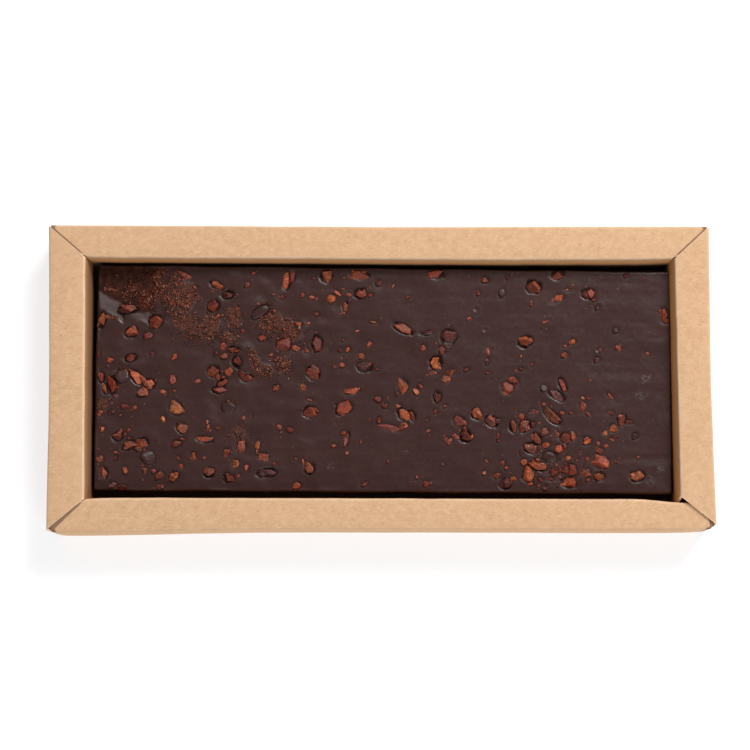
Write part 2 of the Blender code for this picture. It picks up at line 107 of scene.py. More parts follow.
# Nibs that stand out, in picture pixels and degrees: x, y, length, width, turn, kind
# Kinds: o orange, r red-brown, k pinkish, w pale, d dark red, p purple film, c under chocolate
NIBS = (
    (128, 309, 16, 9, 0, "r"), (156, 322, 14, 12, 10, "o"), (131, 331, 12, 10, 20, "o"),
    (148, 335, 9, 7, 0, "r"), (101, 320, 16, 8, 80, "o"), (107, 317, 7, 5, 10, "o"),
    (114, 318, 5, 4, 0, "r"), (183, 274, 15, 5, -32, "k"), (160, 292, 5, 4, 0, "r"),
    (195, 287, 4, 3, 0, "k"), (116, 275, 4, 4, 0, "d"), (130, 280, 4, 4, 0, "d"),
    (213, 306, 12, 11, 40, "r"), (216, 317, 9, 5, 20, "o"), (217, 285, 13, 6, -32, "o"),
    (227, 295, 10, 7, 10, "r"), (212, 291, 4, 3, 0, "o"), (253, 273, 5, 4, 0, "o"),
    (247, 285, 6, 6, 0, "r"), (286, 281, 16, 6, 86, "o"), (292, 277, 12, 5, 84, "r"),
    (273, 294, 4, 3, 0, "k"), (281, 297, 5, 4, 0, "r"), (302, 295, 6, 5, 80, "r"), (311, 297, 7, 4, 5, "o"),
    (326, 275, 12, 10, 70, "o"), (359, 275, 18, 9, -8, "o"), (378, 283, 7, 6, 0, "d"),
    (337, 293, 8, 3, -42, "w"), (343, 289, 4, 2, 0, "o"), (331, 299, 9, 9, 0, "o"),
    (349, 295, 6, 4, -10, "k"), (361, 294, 11, 9, 20, "r"), (370, 295, 5, 4, 0, "r"),
    (345, 307, 10, 5, 80, "o"), (342, 313, 7, 3, 20, "k"), (274, 311, 5, 4, 0, "k"),
    (316, 314, 6, 4, -10, "r"), (260, 312, 20, 9, 34, "c"), (258, 304, 3, 3, 0, "k"),
    (298, 324, 6, 5, 0, "o"), (308, 323, 4, 3, 0, "w"), (262, 338, 9, 6, -15, "o"),
    (283, 345, 15, 13, 0, "r"), (243, 331, 6, 5, 0, "r"), (357, 331, 5, 2, 15, "w"),
    (373, 322, 8, 2, -10, "w"), (343, 340, 4, 3, 0, "o"), (393, 286, 5, 3, 85, "o"),
    (408, 297, 5, 3, 10, "r"), (435, 274, 16, 9, -3, "r"), (485, 280, 8, 6, -10, "o"),
    (507, 278, 5, 4, 80, "r"), (478, 293, 5, 4, 80, "r"), (502, 293, 10, 7, 85, "c"),
    (469, 319, 6, 4, 20, "o"), (448, 336, 15, 14, 30, "d"), (402, 328, 19, 8, -28, "o"),
    (427, 333, 13, 4, 6, "d"), (534, 287, 13, 12, 0, "o"), (526, 341, 13, 11, 30, "o"),
    (557, 275, 11, 8, 22, "r"), (557, 299, 13, 7, 22, "o"), (567, 290, 4, 3, 0, "w"),
    (545, 322, 8, 4, 20, "o"), (589, 294, 13, 10, -5, "r"), (594, 300, 5, 3, 0, "r"),
    (597, 308, 5, 4, 30, "d"), (616, 330, 7, 6, 0, "p"), (626, 276, 5, 4, 0, "r"),
    (663, 315, 14, 9, 85, "r"), (666, 321, 6, 4, 0, "o"), (572, 342, 7, 6, 0, "o"),
    (531, 305, 3, 3, 0, "r"), (110, 360, 6, 5, -20, "o"), (131, 358, 11, 7, 15, "r"),
    (98, 355, 8, 3, 85, "r"), (174, 357, 8, 5, 50, "o"), (152, 353, 5, 3, 0, "d"),
    (122, 376, 14, 13, 30, "c"), (112, 384, 16, 10, 85, "r"), (100, 377, 10, 6, 85, "r"),
    (104, 388, 10, 4, -82, "w"), (136, 376, 18, 9, -48, "o"), (149, 384, 11, 10, 0, "w"),
    (142, 392, 11, 10, 20, "k"), (116, 396, 6, 4, 0, "p"), (163, 392, 8, 5, -15, "w"),
    (173, 380, 9, 7, 80, "k"), (197, 381, 8, 4, 20, "k"), (174, 391, 4, 3, 0, "o"),
    (175, 408, 16, 12, -48, "w"), (124, 406, 8, 4, -5, "o"), (134, 408, 7, 6, 0, "o"),
    (111, 412, 8, 5, 0, "d"), (120, 415, 4, 2, 20, "w"), (100, 413, 7, 6, 85, "o"),
    (163, 419, 6, 4, -60, "w"), (213, 371, 12, 11, 10, "o"), (218, 377, 7, 5, -50, "o"),
    (222, 383, 11, 6, 50, "o"), (219, 390, 13, 6, -5, "r"), (223, 377, 4, 3, 0, "k"),
    (229, 371, 9, 8, 60, "o"), (224, 356, 8, 6, 10, "o"), (233, 350, 12, 5, 5, "o"),
    (223, 346, 9, 6, 60, "r"), (216, 353, 5, 5, 0, "d"), (237, 361, 11, 8, -70, "r"),
    (228, 407, 13, 13, 40, "c"), (228, 401, 3, 3, 0, "w"), (295, 348, 9, 6, -10, "w"),
    (307, 351, 5, 4, 0, "o"), (317, 344, 15, 10, 82, "r"), (242, 374, 9, 6, -60, "r"),
    (247, 378, 10, 6, 15, "o"), (271, 355, 5, 4, 0, "o"), (275, 360, 5, 4, 0, "r"),
    (276, 388, 8, 5, 30, "o"), (303, 387, 7, 6, -50, "o"), (310, 400, 5, 3, 10, "k"),
    (313, 373, 14, 12, -55, "r"), (310, 412, 12, 10, 20, "r"), (316, 410, 6, 3, -40, "o"),
    (344, 408, 16, 13, 15, "o"), (352, 391, 15, 6, 6, "o"), (378, 399, 9, 6, -20, "r"),
    (384, 406, 6, 5, 0, "r"), (342, 365, 7, 6, 10, "o"), (348, 350, 6, 4, 70, "o"),
    (340, 350, 6, 4, 0, "d"), (361, 356, 7, 6, 0, "o"), (364, 366, 15, 9, -5, "d"),
    (369, 345, 7, 5, 60, "o"), (377, 369, 5, 2, 0, "r"), (243, 418, 5, 4, 30, "w"),
    (423, 348, 7, 6, 70, "o"), (442, 350, 8, 6, -60, "k"), (436, 363, 13, 11, 70, "o"),
    (433, 373, 7, 4, 0, "w"), (427, 375, 3, 2, 0, "w"), (451, 372, 10, 8, 30, "o"),
    (446, 379, 8, 6, -20, "w"), (467, 370, 7, 4, 8, "r"), (488, 352, 8, 4, -80, "w"),
    (487, 362, 7, 4, 80, "p"), (488, 373, 4, 3, 0, "r"), (403, 386, 15, 10, 86, "o"),
    (397, 394, 4, 3, 60, "k"), (416, 391, 8, 5, -55, "w"), (420, 386, 7, 4, -60, "r"),
    (437, 398, 12, 7, 86, "d"), (435, 411, 5, 4, 80, "r"), (445, 406, 4, 3, 0, "k"),
    (404, 414, 13, 9, -60, "o"), (412, 416, 11, 5, -70, "r"), (398, 406, 5, 4, 20, "w"),
    (386, 406, 5, 4, 80, "r"), (477, 414, 13, 9, -65, "o"), (491, 421, 12, 9, -35, "k"),
    (498, 421, 6, 5, 0, "p"), (460, 422, 14, 11, -15, "k"), (513, 380, 9, 7, 20, "o"),
    (517, 384, 7, 4, 85, "r"), (507, 388, 12, 11, -50, "o"), (521, 356, 3, 2, 80, "w"),
    (532, 365, 4, 3, 80, "r"), (521, 369, 6, 3, 0, "r"), (522, 417, 6, 6, 0, "o"),
    (531, 412, 9, 6, 20, "p"), (565, 346, 4, 3, 0, "r"), (564, 355, 7, 6, 30, "o"),
    (605, 350, 3, 2, 0, "o"), (600, 350, 5, 4, 0, "p"), (597, 360, 7, 6, 0, "d"), (618, 348, 7, 6, 0, "o"),
    (647, 354, 5, 4, -30, "w"), (544, 388, 8, 7, 0, "c"), (563, 385, 13, 5, -64, "k"),
    (557, 395, 15, 7, -28, "p"), (583, 407, 11, 7, 80, "o"), (588, 414, 6, 4, -20, "o"),
    (583, 398, 4, 3, 0, "w"), (552, 416, 20, 8, -42, "w"), (544, 404, 6, 4, 0, "r"),
    (562, 413, 6, 4, -15, "o"), (571, 413, 4, 3, 0, "r"), (610, 396, 9, 3, -48, "w"),
    (611, 413, 6, 5, 0, "d"), (621, 420, 12, 9, 60, "k"), (629, 422, 9, 4, -10, "r"),
    (102, 429, 5, 5, 0, "w"), (121, 430, 5, 3, 60, "o"), (128, 430, 5, 4, 0, "r"), (132, 426, 3, 2, 0, "w"),
    (117, 436, 10, 9, 10, "k"), (125, 434, 4, 3, 80, "o"), (129, 438, 5, 3, -20, "r"),
    (129, 445, 14, 8, 28, "k"), (142, 442, 12, 8, -20, "o"), (137, 449, 9, 6, 0, "r"),
    (115, 452, 4, 3, 0, "o"), (115, 458, 5, 3, 80, "r"), (99, 459, 8, 7, 0, "o"),
    (147, 457, 15, 13, -30, "c"), (125, 470, 8, 5, -60, "o"), (144, 471, 8, 6, 85, "w"),
    (153, 471, 6, 4, 0, "p"), (159, 475, 9, 7, 20, "o"), (174, 477, 11, 9, 20, "o"),
    (103, 473, 12, 7, -70, "k"), (112, 485, 8, 6, 0, "p"), (122, 487, 10, 5, -5, "r"),
    (160, 487, 8, 5, 0, "r"), (182, 428, 12, 9, -35, "k"), (182, 439, 6, 3, 0, "o"),
    (176, 444, 10, 7, 10, "r"), (205, 439, 15, 6, -8, "o"), (207, 422, 4, 3, 80, "w"),
    (208, 427, 5, 3, 85, "w"), (217, 428, 5, 3, 0, "r"), (193, 456, 8, 6, 80, "o"),
    (178, 458, 4, 3, 80, "w"), (181, 466, 5, 5, 0, "o"), (204, 458, 3, 3, 0, "w"),
    (209, 472, 10, 9, 0, "o"), (226, 453, 9, 6, 70, "o"), (235, 464, 9, 7, 75, "w"),
    (229, 478, 11, 8, -20, "r"), (238, 476, 5, 4, 0, "k"), (241, 446, 12, 10, 40, "w"),
    (257, 445, 9, 5, 80, "o"), (257, 452, 5, 3, -50, "w"), (263, 457, 11, 8, -15, "k"),
    (246, 468, 7, 5, 85, "k"), (274, 464, 4, 3, 0, "o"), (267, 473, 18, 8, 6, "p"),
    (279, 427, 6, 6, 0, "o"), (290, 430, 9, 5, -15, "r"), (296, 459, 4, 3, 0, "k"),
    (309, 468, 11, 10, 70, "o"), (303, 462, 6, 2, -80, "w"), (296, 486, 9, 7, 40, "o"),
    (343, 433, 7, 4, 25, "o"), (346, 440, 14, 4, 75, "k"), (334, 446, 5, 4, -20, "o"),
    (347, 453, 4, 4, 0, "k"), (361, 442, 5, 3, 80, "r"), (365, 484, 8, 4, 15, "r"),
    (388, 427, 21, 6, -18, "k"), (403, 426, 9, 7, 30, "o"), (379, 420, 6, 5, 80, "r"),
    (427, 420, 4, 2, 80, "r"), (428, 431, 5, 4, 0, "k"), (388, 461, 5, 2, 80, "k"),
    (466, 435, 12, 10, -70, "r"), (472, 437, 6, 2, 75, "w"), (455, 436, 9, 4, -40, "w"),
    (448, 441, 9, 7, 0, "k"), (498, 436, 6, 3, 80, "r"), (498, 441, 4, 3, 0, "r"),
    (514, 426, 10, 5, -75, "o"), (525, 427, 14, 10, 70, "k"), (533, 424, 6, 4, 85, "r"),
    (486, 461, 5, 4, 0, "w"), (502, 463, 6, 5, 0, "o"), (506, 468, 4, 3, 30, "o"), (484, 473, 5, 4, 0, "w"),
    (497, 476, 8, 6, 0, "o"), (513, 479, 7, 5, -10, "o"), (506, 484, 12, 10, 60, "d"),
    (426, 484, 7, 6, 0, "o"), (417, 477, 3, 3, 0, "k"), (529, 474, 15, 10, 75, "o"),
    (524, 462, 7, 6, 40, "o"), (521, 453, 6, 3, 85, "r"), (531, 484, 5, 4, 0, "o"),
    (536, 439, 13, 9, -65, "k"), (545, 432, 9, 8, 0, "k"), (546, 445, 9, 7, -10, "o"),
    (530, 448, 13, 9, -20, "w"), (557, 435, 5, 5, 0, "w"), (565, 438, 11, 10, 30, "o"),
    (573, 437, 10, 5, -80, "o"), (559, 449, 9, 8, 0, "o"), (565, 446, 6, 5, 85, "r"),
    (550, 457, 15, 11, -15, "c"), (538, 466, 17, 8, -22, "o"), (538, 460, 5, 4, 0, "w"),
    (554, 472, 9, 8, 10, "r"), (550, 479, 6, 3, 0, "r"), (570, 470, 16, 13, -35, "r"),
    (569, 482, 14, 9, -15, "o"), (568, 458, 6, 5, 40, "w"), (577, 460, 4, 3, 20, "w"),
    (587, 459, 6, 5, 0, "r"), (601, 463, 16, 13, 10, "o"), (596, 457, 7, 6, 45, "w"),
    (600, 451, 7, 5, -30, "o"), (587, 473, 9, 8, 0, "o"), (599, 477, 10, 8, 15, "o"),
    (588, 480, 5, 4, 0, "r"), (605, 433, 5, 5, 0, "w"), (612, 440, 5, 4, 0, "o"), (606, 446, 5, 4, 0, "o"),
    (598, 445, 7, 4, 80, "k"), (587, 441, 9, 7, 30, "o"), (614, 428, 9, 8, -10, "o"),
    (617, 436, 5, 3, 0, "r"), (615, 461, 5, 2, -75, "o"), (637, 476, 14, 10, 0, "w"),
    (635, 436, 7, 6, 30, "c"), (533, 425, 6, 4, 80, "r"), (554, 420, 12, 4, -42, "o"),
    (540, 480, 6, 5, 0, "r"), (545, 489, 6, 4, 0, "p"),
)
TINTS = {
    "o": (0.228, 0.0430, 0.0158),
    "r": (0.140, 0.0206, 0.0086),
    "k": (0.216, 0.0455, 0.0290),
    "w": (0.298, 0.0740, 0.0335),
    "d": (0.096, 0.0147, 0.0098),
    "p": (0.185, 0.0405, 0.0470),
    "c": (0.042, 0.0150, 0.0140),
}
# How much dried chocolate film lies on a nib of each kind
FILMS = {"o": 0.0, "r": 0.05, "k": 0.08, "w": 0.0, "d": 0.25, "p": 0.35, "c": 1.0}

# Patches of cocoa dust, in picture pixels: x, y, half length, half width, turn, strength
DUST = (
    (110, 290, 7, 3, -8, 0.9), (131, 289, 9, 4, 38, 0.95), (147, 299, 10, 8, -20, 0.85),
    (158, 274, 11, 6, 20, 0.8), (163, 291, 13, 12, 0, 0.7), (177, 284, 7, 15, 0, 0.75),
    (180, 303, 14, 8, -30, 0.95), (190, 295, 8, 12, 0, 0.45), (184, 320, 15, 9, -35, 0.85),
    (203, 331, 16, 8, -8, 1.0), (212, 322, 8, 8, 0, 0.6), (234, 317, 7, 12, 0, 0.6),
    (228, 337, 8, 6, 0, 0.4), (270, 322, 12, 11, 0, 0.75), (289, 329, 16, 9, -38, 0.8),
    (254, 360, 5, 10, 15, 0.95), (263, 369, 10, 5, -10, 0.8), (282, 364, 8, 7, 30, 0.8),
    (103, 404, 6, 8, 0, 0.35), (124, 374, 9, 7, 0, 0.3), (147, 458, 9, 8, 0, 0.25),
    (238, 433, 9, 9, 0, 0.25), (560, 470, 30, 22, 0, 0.1),
)
# Front border of the low, torn back left corner, in picture pixels, and the column where it fades out
TEAR = ((90, 289), (99, 292), (120, 302), (129, 309), (138, 312), (150, 313), (165, 321), (184, 337))
TEAR_END = 176
TEAR_FADE = 34
# Smooth slopes before it, in picture pixels: middle and half length along x, and depth
TEAR_SLOPES = ((107, 15, 20), (141, 10, 11))
# Other marks in the poured face, in picture pixels: burst bubbles as x, y, radius
AIR_RINGS = (
    (476, 309, 3.4), (485, 330, 3.0), (598, 350, 3.0), (605, 303, 1.8), (470, 275, 2.0), (521, 360, 2.0),
)
# Scuffs, with the same columns as the dust
SCUFFS = (
    (645, 380, 7, 4, 60, 1.0), (641, 395, 7, 5, 0, 1.0), (660, 469, 5, 4, 0, 1.0), (651, 482, 7, 6, -40, 1.0),
    (330, 466, 4, 4, 0, 0.8), (405, 452, 4, 3, 0, 1.0), (122, 375, 9, 7, 0, 0.9), (112, 396, 8, 4, 0, 0.6),
)
# A ledge left by the spatula at the right end, and a crinkled lip at the back edge
LEDGE = (624, 453.5)
LIP = ((522, 273), (556, 273))
# A white acrylic table that is lit a little from below
TABLE_GLOW = 0.64
TABLE_HALF = 1500.0
TABLE_TOP = -0.02
# Area lights that look at the middle of the case, in metres and watts: name, place, size, power
LIGHTS = (
    ("key", (0.33, 0.535, 0.62), (0.42, 0.34), 7.4),
    ("fill", (0.20, -0.75, 0.55), (0.9, 0.5), 3.5),
)
# The walls of the light tent are bright and its top, where the camera hangs, is dim
TENT = {"From Min": 0.3, "From Max": 0.95, "To Min": 0.66, "To Max": 0.17}

NIB_SEED = 5
CRUMB_SEED = 23
DUST_SEED = 41
# Height over the poured face at which a nib's outline was read
NIB_READ_AT = 0.3
# Half lengths from which a nib has a seat, has crumbs round it, is a big one, and may tear a hollow
SEAT_FROM = 0.5
CRUMBS_FROM = 0.6
BIG_FROM = 0.95
HOLLOW_FROM = 1.35
HOLLOW_SHARE = 0.8
# A nib under chocolate is a whole bean where it is this much longer than wide
BEAN_SHAPE = 1.8
NIB_DEPTH = 1.4
CRUMBS_PER_NIB = 1.5
CRUMBS_LOOSE = 120
CRUMB_REACH = (77, 29.5)
# A crumb's kind is a letter drawn from these
CRUMB_KINDS = "rrrddkkooopp"
DUST_GRAINS = 14000
GRAIN_TONES = (
    (0.034, 0.014, 0.012), (0.060, 0.018, 0.012), (0.085, 0.021, 0.013), (0.115, 0.026, 0.013),
    (0.14, 0.031, 0.014), (0.18, 0.039, 0.016), (0.22, 0.050, 0.019), (0.24, 0.095, 0.060),
)
# A heading is drawn from 0 to this, in radians
ROUND = 6.3
# Tables of the smooth noise, one for each seed, filled when first asked for
TABLES = {}


def smooth_noise(x, y, seed):
    """Value noise from -1 to 1 with one knot per unit."""
    if seed not in TABLES:
        TABLES[seed] = np.random.RandomState(seed).uniform(-1.0, 1.0, (256, 256))
    table = TABLES[seed]
    x, y = np.broadcast_arrays(np.asarray(x, float), np.asarray(y, float))
    left, low = np.floor(x).astype(int), np.floor(y).astype(int)
    fx, fy = x - left, y - low
    fx, fy = fx * fx * (3 - 2 * fx), fy * fy * (3 - 2 * fy)
    a, b = left % 256, low % 256
    c, d = (left + 1) % 256, (low + 1) % 256
    near = table[a, b] * (1 - fx) + table[c, b] * fx
    far = table[a, d] * (1 - fx) + table[c, d] * fx
    return near * (1 - fy) + far * fy


def ease(value):
    """A smooth step from 0 to 1."""
    value = np.clip(value, 0.0, 1.0)
    return value * value * (3 - 2 * value)


def on_plane(px, py, height):
    """The point at a height that shows at a pixel of the picture."""
    u, v = px - PICTURE / 2, py - PICTURE / 2
    reach = (AIM[2] + VIEW_HEIGHT - height) / (v * math.sin(TILT) + FOCAL * math.cos(TILT))
    across = reach * u
    back = reach * (FOCAL * math.sin(TILT) - v * math.cos(TILT)) - VIEW_HEIGHT * math.tan(TILT)
    return AIM[0] + across, AIM[1] + back


def to_bar(x, y):
    """Case coordinates to the bar's own, which is turned a little."""
    c, s = math.cos(-BAR_TURN), math.sin(-BAR_TURN)
    dx, dy = x - BAR_CENTRE[0], y - BAR_CENTRE[1]
    return c * dx - s * dy, s * dx + c * dy


def from_bar(x, y):
    c, s = math.cos(BAR_TURN), math.sin(BAR_TURN)
    return BAR_CENTRE[0] + c * x - s * y, BAR_CENTRE[1] + s * x + c * y


def bar_at(px, py, height=BAR_TOP):
    return to_bar(*on_plane(px, py, height))


def picture_at(x, y):
    """The pixel at which a point of the poured face shows."""
    x, y = from_bar(x, y)
    away, down = y - AIM[1] + VIEW_HEIGHT * math.tan(TILT), AIM[2] + VIEW_HEIGHT - BAR_TOP
    depth = away * math.sin(TILT) + down * math.cos(TILT)
    rise = away * math.cos(TILT) - down * math.sin(TILT)
    return PICTURE / 2 + FOCAL * (x - AIM[0]) / depth, PICTURE / 2 - FOCAL * rise / depth


# Mesh helpers


def new_object(name, points, faces, look, smooth=True, colours=None, values=None):
    """An object from millimetre points, with optional colours and named numbers on its points."""
    mesh = bpy.data.meshes.new(name)
    points = np.asarray(points, float)
    if isinstance(faces, np.ndarray):
        size = faces.shape[1]
        mesh.vertices.add(len(points))
        mesh.vertices.foreach_set("co", (points * MM).ravel())
        mesh.loops.add(faces.size)
        mesh.loops.foreach_set("vertex_index", faces.ravel().astype(np.int32))
        mesh.polygons.add(len(faces))
        mesh.polygons.foreach_set("loop_start", np.arange(0, faces.size, size, dtype=np.int32))
        mesh.polygons.foreach_set("loop_total", np.full(len(faces), size, np.int32))
        mesh.update(calc_edges=True)
    else:
        mesh.from_pydata([tuple(p) for p in points * MM], [], faces)
    mesh.validate()
    if smooth:
        mesh.polygons.foreach_set("use_smooth", np.ones(len(mesh.polygons), bool))
    if colours is not None:
        layer = mesh.color_attributes.new("tint", "FLOAT_COLOR", "POINT")
        full = np.ones((len(points), 4))
        full[:, :3] = colours
        layer.data.foreach_set("color", full.ravel())
    for key, numbers in (values or {}).items():
        layer = mesh.attributes.new(key, "FLOAT", "POINT")
        layer.data.foreach_set("value", np.asarray(numbers, float))
    made = bpy.data.objects.new(name, mesh)
    bpy.context.scene.collection.objects.link(made)
    mesh.materials.append(look)
    return made


def face_outwards(made):
    """Turns every face of a closed mesh outwards."""
    shape = bmesh.new()
    shape.from_mesh(made.data)
    bmesh.ops.recalc_face_normals(shape, faces=shape.faces)
    shape.to_mesh(made.data)
    shape.free()


def round_base(subdivisions):
    """Unit directions and triangles of an even ball."""
    shape = bmesh.new()
    bmesh.ops.create_icosphere(shape, subdivisions=subdivisions, radius=1.0)
    shape.verts.ensure_lookup_table()
    points = np.array([vert.co for vert in shape.verts])
    faces = np.array([[vert.index for vert in face.verts] for face in shape.faces])
    shape.free()
    return points / np.linalg.norm(points, axis=1)[:, None], faces


BALLS = {level: round_base(level) for level in (1, 2, 3, 4)}


# Material helpers


class Look:
    """A node material under construction."""

    def __init__(self, name):
        self.material = bpy.data.materials.new(name)
        self.material.use_nodes = True
        self.tree = self.material.node_tree
        self.shader = self.tree.nodes["Principled BSDF"]
        where = self.add("ShaderNodeTexCoord").outputs["Object"]
        enlarged = self.add("ShaderNodeVectorMath", {0: where, 1: (1 / MM,) * 3}, operation="MULTIPLY")
        self.mm = enlarged.outputs[0]

    def add(self, kind, inputs=None, **settings):
        node = self.tree.nodes.new(kind)
        for key, value in settings.items():
            setattr(node, key, value)
        for key, value in (inputs or {}).items():
            self.put(node.inputs[key], value)
        return node

    def put(self, socket, value):
        if isinstance(value, bpy.types.NodeSocket):
            self.tree.links.new(value, socket)
        else:
            socket.default_value = value

    def noise(self, scale, stretch=(1.0, 1.0, 1.0), turn=0.0, detail=3.0, rough=0.55, shift=0.0):
        """Noise from 0 to 1 with about scale features a millimetre."""
        place = self.add(
            "ShaderNodeMapping",
            {"Vector": self.mm, "Location": (shift,) * 3, "Rotation": (0.0, 0.0, turn), "Scale": stretch},
        ).outputs[0]
        inputs = {"Vector": place, "Scale": scale, "Detail": detail, "Roughness": rough}
        return self.add("ShaderNodeTexNoise", inputs).outputs["Fac"]

    def ramp(self, value, low, high, out_low=0.0, out_high=1.0):
        made = self.add(
            "ShaderNodeMapRange",
            {"Value": value, "From Min": low, "From Max": high, "To Min": out_low, "To Max": out_high},
        )
        return made.outputs[0]

    def maths(self, operation, first, second, clamp=False):
        made = self.add("ShaderNodeMath", {0: first, 1: second}, operation=operation, use_clamp=clamp)
        return made.outputs[0]

    def times(self, first, second):
        return self.maths("MULTIPLY", first, second)

    def plus(self, first, second, clamp=False):
        return self.maths("ADD", first, second, clamp)

    def blend(self, amount, first, second, mode="MIX"):
        made = self.add("ShaderNodeMix", data_type="RGBA", blend_type=mode, clamp_factor=True)
        self.put(made.inputs[0], amount)
        self.put(made.inputs[6], first)
        self.put(made.inputs[7], second)
        return made.outputs[2]

    def attribute(self, name, output="Fac"):
        return self.add("ShaderNodeAttribute", attribute_name=name).outputs[output]

    def bump(self, height, distance, strength=1.0, below=None):
        inputs = {"Height": height, "Distance": distance * MM, "Strength": strength}
        if below is not None:
            inputs["Normal"] = below
        return self.add("ShaderNodeBump", inputs).outputs[0]

    def finish(self, colour, roughness, normal, specular=0.5):
        self.put(self.shader.inputs["Base Color"], colour)
        self.put(self.shader.inputs["Roughness"], roughness)
        self.put(self.shader.inputs["Normal"], normal)
        self.put(self.shader.inputs["Specular IOR Level"], specular)
        return self.material


def rgb(r, g, b):
    return (r, g, b, 1.0)


def kraft_look():
    look = Look("kraft card")
    broad = look.ramp(look.noise(0.05, detail=2.0), 0.3, 0.7)
    mottle = look.ramp(look.noise(0.55, detail=6.0, rough=0.72, shift=7.0), 0.32, 0.68)
    grain = look.ramp(look.noise(3.0, detail=3.0, rough=0.7), 0.25, 0.75)
    colour = look.blend(mottle, rgb(0.555, 0.338, 0.192), rgb(0.705, 0.462, 0.282))
    colour = look.blend(look.times(broad, 0.5), colour, rgb(0.64, 0.405, 0.241))
    colour = look.blend(look.times(grain, 0.4), colour, rgb(0.50, 0.290, 0.152))
    for turn, shift, tone, share in (
        (0.5, 3.0, rgb(0.79, 0.55, 0.365), 0.42),
        (1.6, 11.0, rgb(0.79, 0.55, 0.36), 0.42),
        (2.7, 53.0, rgb(0.78, 0.54, 0.35), 0.42),
        (0.05, 19.0, rgb(0.42, 0.235, 0.12), 0.3),
        (1.1, 29.0, rgb(0.43, 0.24, 0.122), 0.42),
        (2.1, 61.0, rgb(0.43, 0.24, 0.125), 0.42),
    ):
        fibre = look.noise(0.9, (0.8, 3.4, 2.0), turn, 2.5, 0.55, shift)
        fibre = look.ramp(fibre, 0.62, 0.71, 0.0, share)
        colour = look.blend(fibre, colour, tone)
    speck = look.ramp(look.noise(1.5, detail=1.0, shift=41.0), 0.74, 0.79, 0.0, 0.6)
    colour = look.blend(speck, colour, rgb(0.27, 0.13, 0.06))
    # Paler where the card is worn and where a painted highlight lies on the folds and cut ends
    colour = look.blend(look.times(look.attribute("wear"), 0.75), colour, rgb(0.83, 0.63, 0.45))
    # Inside the case the card is painted a deeper brown, and near black towards the bottom: painted shade in
    # the case
    colour = look.blend(look.attribute("inner"), colour, rgb(0.54, 0.233, 0.070))
    colour = look.blend(look.attribute("deep"), colour, rgb(0.120, 0.070, 0.048))
    height = look.plus(look.times(mottle, 0.5), grain)
    return look.finish(colour, look.ramp(grain, 0.0, 1.0, 0.74, 0.9), look.bump(height, 0.03, 0.6), 0.06)


def chocolate_look():
    look = Look("dark chocolate")
    mottle = look.noise(0.16, detail=4.0, rough=0.6)
    streak = look.noise(0.5, (0.06, 1.3, 1.0), 0.0, 4.0, 0.6)
    fine = look.noise(3.2, detail=4.0, rough=0.65)
    colour = look.blend(look.ramp(mottle, 0.3, 0.7), rgb(0.0345, 0.0125, 0.0105), rgb(0.0425, 0.0160, 0.0140))
    colour = look.blend(look.ramp(streak, 0.45, 0.75, 0.0, 0.35), colour, rgb(0.050, 0.022, 0.019))
    colour = look.blend(look.ramp(fine, 0.55, 0.75, 0.0, 0.3), colour, rgb(0.026, 0.010, 0.009))
    scuff = look.attribute("scuff")
    scratched = look.times(scuff, look.ramp(look.noise(1.6, (0.5, 1.8, 1.0), 0.5, 2.0), 0.5, 0.62))
    colour = look.blend(look.times(scratched, 0.4), colour, rgb(0.11, 0.085, 0.085))
    torn = look.attribute("torn")
    patchy = look.ramp(look.noise(0.7, detail=4.0, shift=31.0), 0.35, 0.65)
    torn_tone = look.blend(patchy, rgb(0.022, 0.0078, 0.0056), rgb(0.050, 0.0165, 0.0105))
    colour = look.blend(torn, colour, torn_tone)
    # Painted shadow, near black and with little shine, in the narrow gaps round the nibs and in their hollows
    seat = look.attribute("seat")
    colour = look.blend(look.times(seat, 0.9), colour, rgb(0.010, 0.0042, 0.0034))
    matt_or_shadowed = look.maths("MAXIMUM", torn, seat)
    dust = look.attribute("dust")
    grit = look.noise(2.6, detail=3.0, rough=0.7, shift=5.0)
    cover = look.ramp(dust, 0.05, 0.4)
    patchy = look.ramp(look.noise(1.9, detail=3.0, rough=0.7, shift=9.0), 0.46, 0.60)
    rust = look.blend(patchy, rgb(0.038, 0.0125, 0.008), rgb(0.140, 0.034, 0.0145))
    colour = look.blend(look.times(cover, 0.82), colour, rust)
    rough = look.ramp(look.noise(0.9, detail=3.0, shift=13.0), 0.3, 0.7, 0.27, 0.36)
    rough = look.plus(rough, look.times(look.attribute("soft"), 0.3))
    rough = look.plus(rough, look.times(cover, 0.4))
    rough = look.plus(rough, look.times(matt_or_shadowed, 0.4))
    rough = look.plus(rough, look.times(scratched, 0.25), True)
    shine = look.times(look.ramp(matt_or_shadowed, 0.0, 1.0, 0.43, 0.05), look.ramp(cover, 0.0, 1.0, 1.0, 0.6))
    normal = look.bump(streak, 0.05, 0.35)
    normal = look.bump(fine, 0.02, 0.5, normal)
    grit_height = look.times(grit, look.plus(look.plus(dust, torn), 0.02))
    normal = look.bump(grit_height, 0.3, 0.9, normal)
    return look.finish(colour, rough, normal, shine)


